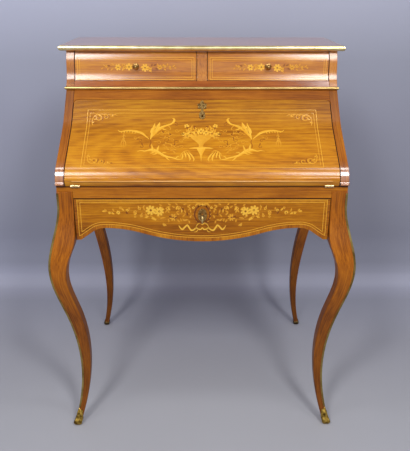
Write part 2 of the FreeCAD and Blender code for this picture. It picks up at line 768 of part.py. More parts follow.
third = "(hinge_length - 2 * knuckle_gap) / 3"
fixed_leaves, moving_leaves, pins = [], [], []
for side, sign in (("left", "-"), ("right", "")):
    bore = knuckle("hinge_bore_" + side, sign, "-1", "hinge_length + 2", "pin_radius + pin_gap")
    middle = knuckle("hinge_middle_" + side, sign, third + " + knuckle_gap", third, "knuckle_radius")
    middle_room = knuckle(
        "hinge_middle_room_" + side, sign, third, third + " + 2 * knuckle_gap",
        "knuckle_radius + knuckle_gap",
    )
    ends, end_rooms = [], []
    for place_name, start, room_start in (
        ("near", "0", "-1"),
        ("far", "hinge_length - " + third, "hinge_length - %s - knuckle_gap" % third),
    ):
        tag = "%s_%s" % (side, place_name)
        ends.append(knuckle("hinge_end_" + tag, sign, start, third, "knuckle_radius"))
        end_rooms.append(knuckle(
            "hinge_end_room_" + tag, sign, room_start, third + " + 1 + knuckle_gap",
            "knuckle_radius + knuckle_gap",
        ))
    fixed_plate = board(
        "fixed_plate_" + side,
        (hinge_side(sign), "hinge_length"),
        ("pivot_set", "leaf_width"),
        ("floor_height - leaf_thick", "leaf_thick"),
    )
    fixed_blank = fuse("fixed_leaf_blank_" + side, cut(
        "fixed_plate_cut_" + side, fixed_plate, middle_room
    ), *ends)
    fixed_leaves.append(cut("fixed_leaf_" + side, fixed_blank, bore))
    moving_plate = on_flap(
        "moving_plate_" + side,
        (hinge_side(sign), "hinge_length"),
        ("0", "leaf_width"),
        ("0", "leaf_thick"),
    )
    moving_blank = fuse("moving_leaf_blank_" + side, cut(
        "moving_plate_cut_" + side, moving_plate, *end_rooms
    ), middle)
    moving_leaves.append(cut("moving_leaf_" + side, moving_blank, bore))
    pins.append(knuckle("hinge_pin_" + side, sign, "0", "hinge_length", "pin_radius"))
keep("hinge_leaves_fixed", *fixed_leaves)
keep("hinge_leaves_flap", *moving_leaves)
keep("hinge_pins", *pins)

# Front rail, aprons, runners and kickers round the large drawer

rail_blank = board(
    "front_rail_blank",
    ("-leg_in", "2 * leg_in"),
    ("front_set", "rail_depth"),
    ("rail_low", "rail_height"),
)
lock_back = "front_set + drawer_front - lock_depth"
rail_slot = board(
    "front_rail_slot",
    ("-bolt_width / 2 - 2 * bolt_gap", "bolt_width + 4 * bolt_gap"),
    (lock_back + " + lock_depth / 2 - bolt_thick / 2 - 2 * bolt_gap", "bolt_thick + 4 * bolt_gap"),
    ("rail_low - 1", "bolt_throw + 4"),
)
keep("front_rail", cut("front_rail_cut", rail_blank, rail_slot))


def level_arc(length, drop):
    """Fall of an arc that starts level, half way along its length and drop."""
    radius = (length * length + drop * drop) / (2 * drop)
    return radius - math.sqrt(radius * radius - length * length / 4)


def arched_end(length, rise):
    """Half of the turn, as a tangent, of an end that is straight at first and then rounds to level."""
    half_turn = 0
    for step in range(40):
        half_turn = 2 * rise / (length * (1 + 2 / (1 - half_turn ** 2)))
    return half_turn


def serpentine(path, half, end, peak_at, peak, low):
    """Shaped lower edge from -half to +half: arched ends, two peaks and a hanging centre."""
    round_reach = (half - d.edge_foot - peak_at) / 2
    round_drop = round_reach * arched_end(2 * round_reach, peak - end)
    turn_x, turn_drop = d.edge_turn * peak_at, d.edge_turn * (peak - low)
    rest_x, rest_drop = peak_at - turn_x, peak - low - turn_drop
    corner = (peak_at + round_reach, peak - round_drop)
    shoulder = (peak_at + round_reach / 2, peak - level_arc(round_reach, round_drop))
    brow = (peak_at - turn_x / 2, peak - level_arc(turn_x, turn_drop))
    turn = (rest_x, low + rest_drop)
    belly = (rest_x / 2, low + level_arc(rest_x, rest_drop))

    def left(point):
        return (-point[0], point[1])

    path.line((-half, end), (d.edge_foot - half, end), left(corner)).arc(left(shoulder), (-peak_at, peak))
    path.arc(left(brow), left(turn)).arc(left(belly), (0, low))
    path.arc(belly, turn).arc(brow, (peak_at, peak))
    return path.arc(shoulder, corner).line((half - d.edge_foot, end), (half, end))


front_half = d.leg_in - d.fit_gap
front_top = d.rail_low - d.fit_gap
front_path = serpentine(
    Path(-front_half, front_top),
    front_half,
    d.rail_low - d.end_drop,
    d.drawer_peak_x,
    d.rail_low - d.peak_drop,
    d.rail_low - d.drawer_drop,
)
front_blank = padded(
    "drawer_front_blank", "XZ", front_path.line((front_half, front_top)).close(),
    "drawer_front", y="front_set",
)
lock_low = "rail_low - fit_gap - lock_length"
drawer_lock_room = board(
    "drawer_lock_room",
    ("-lock_width / 2", "lock_width"),
    (lock_back, "lock_depth + 1"),
    (lock_low, "lock_length + 1"),
)
key_room = rod("drawer_key_room", "y", "key_radius + key_gap", "drawer_front", "0", "0", "key_height")
keep("drawer_front", cut("drawer_front_cut", front_blank, drawer_lock_room, key_room))

apron_half = d.case_depth / 2 - d.leg_size
apron_mid = "case_depth / 2"


def apron_outline(half):
    peak, low = d.rail_low - d.apron_peak_drop, d.rail_low - d.apron_drop
    path = Path(-half, d.leg_top)
    serpentine(path, half, d.rail_low - d.end_drop, half - d.apron_arch, peak, low)
    return path.line((half, d.leg_top)).close()


for side, start in (("left", "apron_set - case_width / 2"), ("right", "apron_in")):
    keep(side + "_apron", padded(
        side + "_apron_body", "YZ", apron_outline(apron_half), "apron_thick", start, apron_mid
    ))
keep("back_apron", padded(
    "back_apron_body", "XZ", apron_outline(d.leg_in), "apron_thick",
    y="case_depth - apron_set - apron_thick",
))

runner_reach = d.drawer_side_x - d.drawer_wall - 2
runner_length = "case_depth - 2 * leg_size"
runners, kickers = [], []
for side, sign in (("left", -1), ("right", 1)):
    inner, wall, guide = sign * runner_reach, sign * d.apron_in, sign * (d.drawer_side_x + 1)
    low, top = d.drawer_floor - d.runner_tall, d.drawer_floor
    outline = Path(wall, low).line((inner, low), (inner, top), (guide, top))
    outline.line((guide, top + 30), (wall, top + 30))
    runners.append(padded(
        "runner_" + side, "XZ", outline.close(), runner_length, y="leg_size"
    ))
    start = "-apron_in" if sign < 0 else repr(runner_reach)
    kickers.append(board(
        "kicker_" + side,
        (start, "apron_in - %r" % runner_reach),
        ("leg_size", runner_length),
        ("rail_low", "rail_height"),
    ))
keep("drawer_runners", *runners)
keep("drawer_kickers", *kickers)

# The large drawer's box, lock, key plate and key

side_low = "drawer_floor + slide_gap"
side_tall = "rail_low - 2 * slide_gap - drawer_floor - 2"
box_front = "front_set + drawer_front"
keep("drawer_sides", *[
    board(
        "drawer_side_" + side,
        (start, "drawer_wall"),
        (box_front, "drawer_length - front_set - drawer_front"),
        (side_low, side_tall),
    )
    for side, start in (("left", "-drawer_side_x"), ("right", "drawer_side_x - drawer_wall"))
])
inner_width = "2 * (drawer_side_x - drawer_wall)"
inner_start = "drawer_wall - drawer_side_x"
keep("drawer_bottom", board(
    "drawer_bottom_board",
    (inner_start, inner_width),
    (box_front, "drawer_length - front_set - drawer_front"),
    (side_low + " + 4", "drawer_base"),
))
keep("drawer_back", board(
    "drawer_back_board",
    (inner_start, inner_width),
    ("drawer_length - drawer_wall", "drawer_wall"),
    (side_low + " + 4 + drawer_base", side_tall + " - 10 - drawer_base"),
))
drawer_lock_case = board(
    "drawer_lock_body",
    ("-lock_width / 2", "lock_width"),
    (lock_back, "lock_depth"),
    (lock_low, "lock_length"),
)
drawer_lock_slot = board(
    "drawer_lock_slot",
    ("-bolt_width / 2 - bolt_gap", "bolt_width + 2 * bolt_gap"),
    (lock_back + " + lock_depth / 2 - bolt_thick / 2 - bolt_gap", "bolt_thick + 2 * bolt_gap"),
    ("rail_low - fit_gap - bolt_length - 2 * bolt_gap", "bolt_length + 10"),
)
ward = "%s + lock_depth / 2 - bolt_thick / 2 - bolt_gap" % lock_back
drawer_key_ward = rod(
    "drawer_key_ward", "y", "key_radius + 7", "bolt_thick + 2 * bolt_gap", "0", ward, "key_height"
)
keep("drawer_lock", cut(
    "drawer_lock_cut", drawer_lock_case, drawer_lock_slot, drawer_key_ward, key_room
))
keep("drawer_lock_bolt", board(
    "drawer_bolt",
    ("-bolt_width / 2", "bolt_width"),
    (lock_back + " + lock_depth / 2 - bolt_thick / 2", "bolt_thick"),
    ("rail_low - fit_gap - bolt_length - bolt_gap", "bolt_length"),
))

oval = doc.addObject("Part::Ellipse", "key_plate_oval")
bind(oval, MajorRadius="17", MinorRadius="11")
oval.Placement = Placement(Vector(), PLANES["XZ"] * Rotation(Vector(0, 0, 1), 90))
place(oval, "0", "front_set - plate_thick", "key_height")
oval_prism = doc.addObject("Part::Extrusion", "key_plate_blank")
oval_prism.Base = oval
oval_prism.DirMode = "Custom"
oval_prism.Dir = Vector(0, 1, 0)
oval_prism.Solid = True
bind(oval_prism, LengthFwd="plate_thick")
keep("drawer_key_plate", cut("key_plate_cut", oval_prism, key_room))

shank_start = "front_set - 14"
key_shank = rod(
    "key_shank", "y", "key_radius", ward + " + bolt_thick + bolt_gap - (%s)" % shank_start,
    "0", shank_start, "key_height",
)
key_bit = board(
    "key_bit",
    ("-1.2", "2.4"),
    (ward + " + bolt_gap", "bolt_thick"),
    ("key_height - key_radius - 5.5", "key_radius + 5.5"),
)
bow_outer = rod("key_bow_outer", "x", "12", "3.2", "-1.6", "front_set - 25", "key_height")
bow_inner = rod("key_bow_inner", "x", "7.5", "6", "-3", "front_set - 25", "key_height")
keep("drawer_key", cut("key_cut", fuse("key_blank", key_shank, key_bit, bow_outer), bow_inner))

# Small drawers: two behind the ogee fronts of the upper row, two inside the desk


def small_box(label, x0, x1, y0, y1, z0, z1):
    """Sides, back and bottom of a small drawer as separate boards; limits are formulas."""
    wide, deep, tall = ("(%s) - (%s)" % pair for pair in ((x1, x0), (y1, y0), (z1, z0)))
    within = "%s - 2 * small_wall" % wide
    return [
        board(label + "_left", (x0, "small_wall"), (y0, deep), (z0, tall)),
        board(label + "_right", ("%s - small_wall" % x1, "small_wall"), (y0, deep), (z0, tall)),
        board(
            label + "_back",
            ("%s + small_wall" % x0, within),
            ("%s - small_wall" % y1, "small_wall"),
            ("%s + 2 + small_base" % z0, "%s - 6 - small_base" % tall),
        ),
        board(label + "_base", ("%s + small_wall" % x0, within), (y0, deep), (
            "%s + 2" % z0, "small_base"
        )),
    ]


def knob(label, x, face, z):
    """Turned knob with a collar, neck and round head; the head is turned in narrow flats."""
    head, neck = d.knob_radius, d.knob_radius / 2
    centre = head - d.knob_stand
    flats = [math.radians(degrees) for degrees in range(30, 180, 30)]
    outline = Path(0, 6).line((2, 6), (2, 0), (4.5, 0), (4.5, -1.5), (neck, -4))
    outline.line(*[(head * math.sin(turn), centre + head * math.cos(turn)) for turn in flats])
    return turned(label, outline.line((0, -d.knob_stand)).close(), x, face, z)


front_z = "upper_low + ogee_tall / 2"
front_back = ogee_top + d.small_front
waist_face = rail_face + ogee_depth / 2 + d.fit_gap - d.slide_gap
for side, sign in (("left", -1), ("right", 1)):
    near, far = d.post_width / 2 + d.fit_gap, d.panel_in - d.fit_gap
    start = near if sign > 0 else -far
    low, high = d.upper_low + d.slide_gap, d.upper_top - d.fit_gap
    path = ogee(Path(rail_face + d.fit_gap, low), low, high, d.fit_gap)
    path.line((front_back, high), (front_back, low))
    centre = sign * (near + far) / 2
    label = "upper_drawer_" + side
    blank = padded(label + "_blank", "YZ", path.close(), repr(far - near), repr(start))
    hole = rod(label + "_knob_hole", "y", "2", "30", repr(centre), waist_face - 10, front_z)
    keep(label + "_front", cut(label + "_front_cut", blank, hole))
    keep(label + "_box", *small_box(
        label,
        repr(start + 2),
        repr(start + far - near - 2),
        repr(front_back),
        "case_in - 12",
        "upper_low + slide_gap",
        "upper_top - 16",
    ))
    keep(label + "_knob", knob(label + "_knob_body", repr(centre), repr(waist_face), front_z))

shelves = []
nest_depth = "case_in - nest_front"
for side, sign in (("left", -1), ("right", 1)):
    keep("partition_" + side, board(
        "partition_board_" + side,
        ("%d * partition_x - partition_thick / 2" % sign, "partition_thick"),
        ("nest_front", nest_depth),
        ("floor_height", "upper_low - upper_floor - floor_height"),
    ))
    bay = "panel_in - partition_x - partition_thick / 2"
    start = "-panel_in" if sign < 0 else "partition_x + partition_thick / 2"
    shelves.append(board(
        "shelf_" + side,
        (start, bay),
        ("nest_front", nest_depth),
        ("shelf_height", "partition_thick"),
    ))
    label = "inner_drawer_" + side
    front = board(
        label + "_front",
        ("%s + fit_gap" % start, bay + " - 2 * fit_gap"),
        ("nest_front", "small_front"),
        ("floor_height + slide_gap", "shelf_height - floor_height - slide_gap - fit_gap"),
    )
    centre = "%d * (panel_in + partition_x + partition_thick / 2) / 2" % sign
    middle = "(floor_height + shelf_height) / 2"
    hole = rod(label + "_knob_hole", "y", "2", "small_front + 2", centre, "nest_front - 1", middle)
    keep(label, cut(label + "_front_cut", front, hole), *small_box(
        label,
        start + " + 2",
        start + " + %s - 2" % bay,
        "nest_front + small_front",
        "case_in - 12",
        "floor_height + slide_gap",
        "shelf_height - 4",
    ))
    keep(label + "_knob", knob(label + "_knob_body", centre, "nest_front", middle))
keep("inner_shelves", *shelves)

# Cabriole legs: sawn to one curve on two faces, so each is the common body of two profiles


LEG_CURVE = {"front": 1, "front side": 1, "back": d.back_spread, "back side": d.back_share}


def rake(height):
    return d.toe_rake * max(0, (d.rake_height - height) / d.rake_height)


def tuck(height):
    return d.back_tuck * min(1, (d.shoulder_height - height) / (d.shoulder_height - d.knee_height))


def leg_line(height, out, view):
    """Distance of a leg line outside the square: front legs lean forward, back legs are drawn in."""
    shift = {"front side": rake(height), "back": -tuck(height)}.get(view, 0)
    return out * LEG_CURVE[view] + shift


def spline(points, kick):
    """Smooth leg edge through its stations: upright at the top, kicked out at the toe."""
    curve = Part.BSplineCurve()
    curve.interpolate(
        Points=[Vector(*point) for point in points],
        Parameters=[-height for out, height in points],
        InitialTangent=Vector(0, -1),
        FinalTangent=Vector(kick, -1),
        Scale=False,
    )
    return curve


def leg_edges(view, grow=0):
    """Outer and inner edge of a leg in (outward, height), from the top down."""
    knee_size = d.leg_size + LEG_CURVE[view] * (d.knee_size - d.leg_size)
    stations = [
        (d.shoulder_height, 0, d.leg_size),
        (d.knee_height, d.knee_out, knee_size),
        (d.shank_height, 0, d.shank_size),
        (d.ankle_height, -d.ankle_in, d.ankle_size),
        (d.sabot_sole, -d.toe_in, d.toe_size),
    ]
    outer = [(leg_line(z, out, view) + grow, z) for z, out, size in stations]
    slim = d.back_slim if view == "back" else 1
    inner = [(leg_line(z, out, view) - size * slim - grow, z) for z, out, size in stations]
    inner[0] = (-d.leg_size - grow, d.spring_height)
    kick = d.toe_kick * LEG_CURVE[view]
    if view == "front side":
        kick += d.toe_rake / d.rake_height
    return spline(outer, kick), spline(inner, kick)


def trimmed(curve, top, bottom=None):
    """Stretch of a leg edge between two heights."""
    first, last = curve.FirstParameter, curve.LastParameter

    def parameter(height):
        low, high = first, last
        for step in range(50):
            middle = (low + high) / 2
            if curve.value(middle).y > height:
                low = middle
            else:
                high = middle
        return low

    piece = curve.copy()
    piece.segment(parameter(top), last if bottom is None else parameter(bottom))
    return piece


def leg_profile(view, grow=0):
    """Closed outline of a whole leg in one view."""
    outer, inner = leg_edges(view, grow)
    front, back = Vector(outer.StartPoint.x, d.leg_top), Vector(inner.StartPoint.x, d.leg_top)
    return [
        Part.LineSegment(front, outer.StartPoint),
        outer,
        Part.LineSegment(outer.EndPoint, inner.EndPoint),
        inner,
        Part.LineSegment(inner.StartPoint, back),
        Part.LineSegment(back, front),
    ]


def sabot_profile(view, tip, rim):
    """Shoe round the foot: rounded sole, upper edge rising to a point at the outer side."""
    edges = leg_edges(view, d.sabot_wall)
    outer, inner = trimmed(edges[0], tip), trimmed(edges[1], rim)
    toe, heel = outer.EndPoint, inner.EndPoint
    sole, near = d.sabot_sole, d.sabot_sole * (1 - math.sqrt(0.5))
    ball, back = Vector(toe.x - sole, 0), Vector(heel.x + sole, 0)
    return [
        outer,
        Part.Arc(toe, Vector(toe.x - near, near), ball),
        Part.LineSegment(ball, back),
        Part.Arc(back, Vector(heel.x + near, near), heel),
        inner,
        Part.LineSegment(inner.StartPoint, outer.StartPoint),
    ]


def arris_profile(view):
    """Band along the outer edge, from under the writing board to above the sabot."""
    face, heart = (
        trimmed(leg_edges(view, grow)[0], d.shoulder_height, d.sabot_tip + 2)
        for grow in (d.arris_wall, -d.arris_band)
    )
    top = d.leg_top - 4
    return [
        Part.LineSegment(Vector(face.StartPoint.x, top), face.StartPoint),
        face,
        Part.LineSegment(face.EndPoint, heart.EndPoint),
        heart,
        Part.LineSegment(heart.StartPoint, Vector(heart.StartPoint.x, top)),
        Part.LineSegment(Vector(heart.StartPoint.x, top), Vector(face.StartPoint.x, top)),
    ]


def two_way(label, side, end, outline):
    """Common body of a profile sawn from the front and one sawn from the side."""
    across, along = side * d.case_width / 2, 0 if end < 0 else d.case_depth
    pieces = []
    for view, plane, mirror, direction in (
        ("front" if end < 0 else "back", "XZ", side, Vector(0, 1, 0)),
        ("front side" if end < 0 else "back side", "YZ", end, Vector(1, 0, 0)),
    ):
        sketch = doc.addObject("Sketcher::SketchObject", "%s_%s" % (label, plane))
        geometry = outline(view)
        if mirror < 0:
            for piece in geometry:
                piece.mirror(Vector(0, 0, 0), Vector(0, 1, 0))
        sketch.addGeometry(geometry, False)
        offset = Vector(across, d.front_y + along - 100, 0)
        if plane == "YZ":
            offset = Vector(across - 100, d.front_y + along, 0)
        sketch.Placement = Placement(offset, PLANES[plane])
        slab = doc.addObject("Part::Extrusion", "%s_%s_slab" % (label, plane))
        slab.Base = sketch
        slab.DirMode = "Custom"
        slab.Dir = direction
        slab.LengthFwd = 200
        slab.Solid = True
        pieces.append(slab)
    return common(label, *pieces)


strips = []
for end_name, end in (("front", -1), ("back", 1)):
    for side_name, side in (("left", -1), ("right", 1)):
        name = "%s_%s" % (end_name, side_name)
        keep(name + "_leg", two_way(name + "_leg_form", side, end, leg_profile))
        room = two_way(
            name + "_leg_room", side, end, lambda view: leg_profile(view, d.brass_gap)
        )
        tip, rim = (d.sabot_tip, d.sabot_rim) if end < 0 else (d.cap_tip, d.cap_rim)
        shoe = two_way(
            name + "_sabot_form", side, end, lambda view: sabot_profile(view, tip, rim)
        )
        keep(name + "_sabot", cut(name + "_sabot_cut", shoe, room))
        if end < 0:
            band = two_way(name + "_arris_form", side, end, arris_profile)
            strips.append(cut(name + "_arris", band, room))
keep("leg_brass_strips", *strips)

doc.recompute()
os.makedirs("parts", exist_ok=True)
for item in doc.Objects:
    if any(word in item.State for word in ("Invalid", "Error")):
        raise RuntimeError("%s did not build: %s" % (item.Label, item.State))
for label, node in parts.items():
    shape = node.Shape
    if shape.isNull() or not shape.isValid() or not shape.Solids:
        raise RuntimeError("%s has no valid solid" % label)
    shape.exportStep(os.path.join("parts", label + ".step"))
print("%d nodes" % len(parts))
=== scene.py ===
"""Looks of the slant-front desk: woods, brass, leather and the marquetry on the flap and the drawers."""
import fnmatch
import json
import math
from bisect import bisect_right

import bmesh
import bpy
import numpy as np
from mathutils import Matrix, Vector
from mathutils.bvhtree import BVHTree


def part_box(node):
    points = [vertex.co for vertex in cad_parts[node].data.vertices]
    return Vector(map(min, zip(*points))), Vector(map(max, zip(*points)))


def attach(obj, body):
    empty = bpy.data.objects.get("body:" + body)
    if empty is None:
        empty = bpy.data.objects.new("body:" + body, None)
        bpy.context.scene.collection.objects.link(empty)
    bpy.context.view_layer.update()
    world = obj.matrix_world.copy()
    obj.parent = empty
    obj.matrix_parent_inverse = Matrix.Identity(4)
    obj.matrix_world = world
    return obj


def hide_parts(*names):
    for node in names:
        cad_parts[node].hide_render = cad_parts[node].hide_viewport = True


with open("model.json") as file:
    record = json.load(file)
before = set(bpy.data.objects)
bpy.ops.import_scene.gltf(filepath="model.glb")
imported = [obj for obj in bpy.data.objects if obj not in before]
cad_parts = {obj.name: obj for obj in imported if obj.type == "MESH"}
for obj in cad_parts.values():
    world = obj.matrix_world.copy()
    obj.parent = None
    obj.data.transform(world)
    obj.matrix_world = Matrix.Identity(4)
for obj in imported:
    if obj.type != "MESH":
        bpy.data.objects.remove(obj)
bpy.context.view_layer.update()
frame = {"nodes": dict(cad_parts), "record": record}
NODES = frame["nodes"]
BODY_OF = {node: body for body, names in frame["record"]["behaviour"]["bodies"].items() for node in names}
SCENE = bpy.context.scene


def add_object(name, data):
    thing = bpy.data.objects.new(name, data)
    SCENE.collection.objects.link(thing)
    return thing


# Camera: the photograph's viewpoint, for a frame of 410 x 451

IMAGE_HEIGHT = 451
FOCAL_PIXELS = 603.5
SENSOR = 36.0
CAMERA_PLACE = (-0.0073, -1.6012, 1.1107)
PITCH, YAW, ROLL = 0.3772, 0.0100, 0.0027


def make_camera():
    data = bpy.data.cameras.new("photo_camera")
    data.sensor_width = SENSOR
    data.lens = FOCAL_PIXELS * SENSOR / IMAGE_HEIGHT
    camera = add_object("photo_camera", data)
    place = Matrix.Translation(CAMERA_PLACE)
    for angle, axis in ((-YAW, "Z"), (math.pi / 2 - PITCH, "X"), (ROLL, "Z")):
        place @= Matrix.Rotation(angle, 4, axis)
    camera.matrix_world = place
    SCENE.camera = camera


make_camera()


# Materials


class Nodes:
    """Short way to add shader nodes: constants are set on sockets, sockets are linked."""

    def __init__(self, name):
        self.material = bpy.data.materials.new(name)
        self.material.use_nodes = True
        self.tree = self.material.node_tree
        self.tree.nodes.clear()

    def add(self, kind, inputs=None, **props):
        node = self.tree.nodes.new("ShaderNode" + kind)
        for key, value in props.items():
            setattr(node, key, value)
        for key, value in (inputs or {}).items():
            if isinstance(value, bpy.types.NodeSocket):
                self.tree.links.new(value, node.inputs[key])
            else:
                node.inputs[key].default_value = value
        return node

    def math(self, operation, a, b):
        return self.add("Math", {0: a, 1: b}, operation=operation).outputs[0]

    def vector(self, operation, a, b):
        return self.add("VectorMath", {0: a, 1: b}, operation=operation).outputs[0]

    def span(self, value, low, high, start=0.0, end=1.0):
        """The value's way from low to high, as a number from start to end."""
        return self.add("MapRange", {0: value, 1: low, 2: high, 3: start, 4: end}).outputs[0]

    def blend(self, *shares, base=None):
        """Weighted sum of (weight, value) pairs, on top of the base."""
        total = None
        for weight, value in shares:
            part = self.math("MULTIPLY", value, weight)
            total = part if total is None else self.math("ADD", total, part)
        return total if base is None else self.math("ADD", total, base)

    def ramp(self, factor, *stops):
        node = self.add("ValToRGB", {"Fac": factor})
        ramp = node.color_ramp
        while len(ramp.elements) < len(stops):
            ramp.elements.new(0.5)
        for element, (place, colour) in zip(ramp.elements, stops):
            element.position = place
            element.color = (*colour, 1)
        return node.outputs["Color"]

    def tones(self, factor, *stops):
        """Ramp whose colours are written as 8-bit display values."""
        return self.ramp(factor, *((place, linear(*colour)) for place, colour in stops))

    def mix(self, factor, a, b, blend="MIX"):
        node = self.add("Mix", {0: factor, 6: a, 7: b}, data_type="RGBA", blend_type=blend)
        return node.outputs[2]

    def noise(self, vector, *values):
        """Noise by its scale, detail, roughness and distortion."""
        inputs = dict(zip(("Scale", "Detail", "Roughness", "Distortion"), values))
        return self.add("TexNoise", {"Vector": vector, **inputs}).outputs["Fac"]

    def place(self):
        return self.add("TexCoord").outputs["Object"]

    def stretch(self, vector, scale, shift=0.0):
        return self.add("Mapping", {
            "Vector": vector, "Scale": scale, "Location": (shift, shift * 0.7, shift * 1.3),
        }).outputs["Vector"]

    def height(self):
        return self.add("SeparateXYZ", {0: self.place()}).outputs[2]

    def attribute(self, name, output="Fac"):
        return self.add("Attribute", attribute_name=name).outputs[output]

    def finish(self, height, bump, distance, **inputs):
        normal = self.add("Bump", {"Height": height, "Strength": bump, "Distance": distance}).outputs[0]
        inputs = {key.replace("_", " "): value for key, value in inputs.items()}
        shader = self.add("BsdfPrincipled", {"Normal": normal, **inputs})
        self.add("OutputMaterial", {"Surface": shader.outputs[0]})
        return self.material


def linear(red, green, blue):
    """Colour written as 8-bit display values."""
    return tuple(
        c / 12.92 if c <= 0.04045 else ((c + 0.055) / 1.055) ** 2.4
        for c in (red / 255, green / 255, blue / 255)
    )


WHITE = (1, 1, 1)


def wood(
    name, dark, mid, light, grain, shift=0.0, figure=1.0, gloss=0.34, coat=0.3, coat_rough=0.14,
    coat_ior=1.5, foot=None, dull=None, shine=None, straight=False, rings=None,
):
    """Polished veneer: wavy lines along the grain, cloudy figure, pores and a thin glossy finish.

    Grain names the axes that it runs along. Foot paints shade as a darker tint between two heights; dull
    and shine change the roughness and the coat between two heights.
    """
    n = Nodes(name)
    place = n.attribute("straight", "Vector") if straight else n.place()

    def stretched(vector, along, across):
        scale = tuple(along if axis in grain else across for axis in "xyz")
        return n.stretch(vector, scale, shift)

    sway = n.add("TexNoise", {"Vector": stretched(place, 4, 11), "Scale": 1.0}).outputs["Color"]
    bent = n.vector("ADD", place, n.vector("MULTIPLY", sway, (0.014, 0.014, 0.014)))

    def streaks(along, across, detail, roughness):
        return n.noise(stretched(bent, along, across), 1.0, detail, roughness)

    broad = streaks(1.8, 24, 3.0, 0.55)
    lines = streaks(3.5, 190, 4.0, 0.62)
    fine = streaks(9, 520, 2.0, 0.6)
    pores = streaks(45, 1700, 1.0, 0.5)
    clouds = streaks(4.5, 10, 5.0, 0.65)
    shares = [(0.17, lines), (0.15 * figure, broad), (0.34, fine), (0.42 * figure, clouds)]
    if rings:
        centre, scale, weight = rings
        wave = n.add("TexWave", {
            "Vector": n.stretch(n.vector("SUBTRACT", bent, centre), scale), "Scale": 1.0,
            "Distortion": 3.0, "Detail": 2.0, "Detail Scale": 1.6,
        }, wave_type="RINGS", rings_direction="SPHERICAL").outputs["Fac"]
        shares.append((weight, wave))
    tone = n.blend(*shares)
    middle = 0.5 * sum(weight for weight, value in shares)
    colour = n.tones(tone, (middle - 0.14, dark), (middle, mid), (middle + 0.14, light))
    specks = n.ramp(pores, (0.30, (0.62, 0.52, 0.45)), (0.42, WHITE))
    colour = n.mix(0.5, colour, specks, "MULTIPLY")
    # painted shade: the colour darkens to the tint towards one height
    if foot:
        low, high, tint = foot
        rise = n.span(n.height(), low, high)
        colour = n.mix(1.0, colour, n.ramp(rise, (0.0, tint), (1.0, WHITE)), "MULTIPLY")
    rough = n.blend((0.14, clouds), (0.06, lines), base=gloss - 0.1)
    if dull:
        low, high, more = dull
        rough = n.math("ADD", rough, n.span(n.height(), low, high, 0.0, more))
    if shine:
        low, high, more = shine
        coat = n.span(n.height(), low, high, more, coat)
    height = n.blend((0.45, pores), (0.35, fine), (0.2, lines))
    return n.finish(
        height, 0.08, 0.0003, Base_Color=colour, Roughness=rough, Coat_Weight=coat,
        Coat_Roughness=coat_rough, Coat_IOR=coat_ior, IOR=1.45, Specular_IOR_Level=0.25,
    )


def inlay_wood(name, dark, mid, light):
    """Cut veneer, scorched at one side in hot sand: the darker end of each piece is in its shade."""
    n = Nodes(name)
    place = n.place()
    grain = n.noise(n.stretch(place, (30, 900, 900)), 1.0, 3.0, 0.6)
    tint = n.noise(n.stretch(place, (90, 90, 90)), 1.0, 1.0)
    tone = n.blend((0.62, n.attribute("shade")), (0.26, grain), (0.22, tint))
    colour = n.tones(tone, (0.22, dark), (0.52, mid), (0.84, light))
    rough = n.blend((0.12, grain), base=0.30)
    return n.finish(
        grain, 0.06, 0.0002, Base_Color=colour, Roughness=rough, Coat_Weight=0.3, Coat_Roughness=0.14,
        IOR=1.45, Specular_IOR_Level=0.25,
    )


def brass(name, bright, dull, rough, clouding=45, relief=0.05):
    """Old polished brass: paler rubbed metal with a browner tarnish in soft clouds, fine scratches."""
    n = Nodes(name)
    place = n.place()
    clouds = n.noise(n.stretch(place, (clouding, clouding, clouding)), 1.0, 2.0, 0.5)
    scratches = n.noise(n.stretch(place, (300, 2500, 900)), 1.0, 2.0)
    colour = n.tones(clouds, (0.30, dull), (0.66, bright))
    roughness = n.blend((0.16, clouds), (0.08, scratches), base=rough - 0.12)
    height = n.blend((0.3, scratches), (0.7, clouds))
    return n.finish(height, relief, 0.0006, Base_Color=colour, Metallic=1.0, Roughness=roughness)


def leather(name, deep, worn):
    n = Nodes(name)
    place = n.place()
    cells = n.add("TexVoronoi", {"Vector": place, "Scale": 900.0, "Randomness": 0.9},
                  feature="DISTANCE_TO_EDGE").outputs["Distance"]
    patches = n.noise(place, 14.0, 4.0, 0.6, 0.4)
    colour = n.tones(patches, (0.34, deep), (0.68, worn))
    rough = n.blend((0.2, patches), base=0.38)
    return n.finish(cells, 0.35, 0.0004, Base_Color=colour, Roughness=rough)


def iron(name):
    n = Nodes(name)
    marks = n.noise(n.place(), 120.0, 4.0, 0.6)
    colour = n.tones(marks, (0.35, (70, 64, 58)), (0.65, (128, 122, 114)))
    rough = n.blend((0.25, marks), base=0.28)
    return n.finish(marks, 0.15, 0.0003, Base_Color=colour, Metallic=1.0, Roughness=rough)


# Dark, middle and light tone of each veneer, as 8-bit display values
GOLDEN = (136, 73, 4), (195, 122, 9), (220, 152, 21)
UPPER_BROWN = (122, 60, 2), (176, 102, 5), (206, 134, 14)
MID_BROWN = (124, 62, 6), (176, 104, 14), (204, 132, 28)
EDGE_BROWN = (128, 62, 6), (172, 98, 12), (198, 126, 26)
LEG_BROWN = (100, 46, 6), (168, 94, 12), (200, 124, 26)
DRAWER_BROWN = (114, 58, 2), (168, 100, 6), (204, 136, 20)
RED_BROWN = (104, 44, 10), (160, 84, 24), (188, 112, 42)
BANDING = (118, 58, 4), (170, 100, 8), (204, 136, 22)
HEADER_BROWN = (108, 50, 4), (152, 84, 8), (180, 110, 20)
LIP_HIGHLIGHT_GOLD = (196, 126, 46), (222, 160, 80), (238, 190, 118)
GAP_SHADE_AND_GRIME = (36, 15, 5), (66, 30, 10), (96, 50, 18)
OAK = (140, 104, 62), (176, 138, 88), (200, 164, 112)

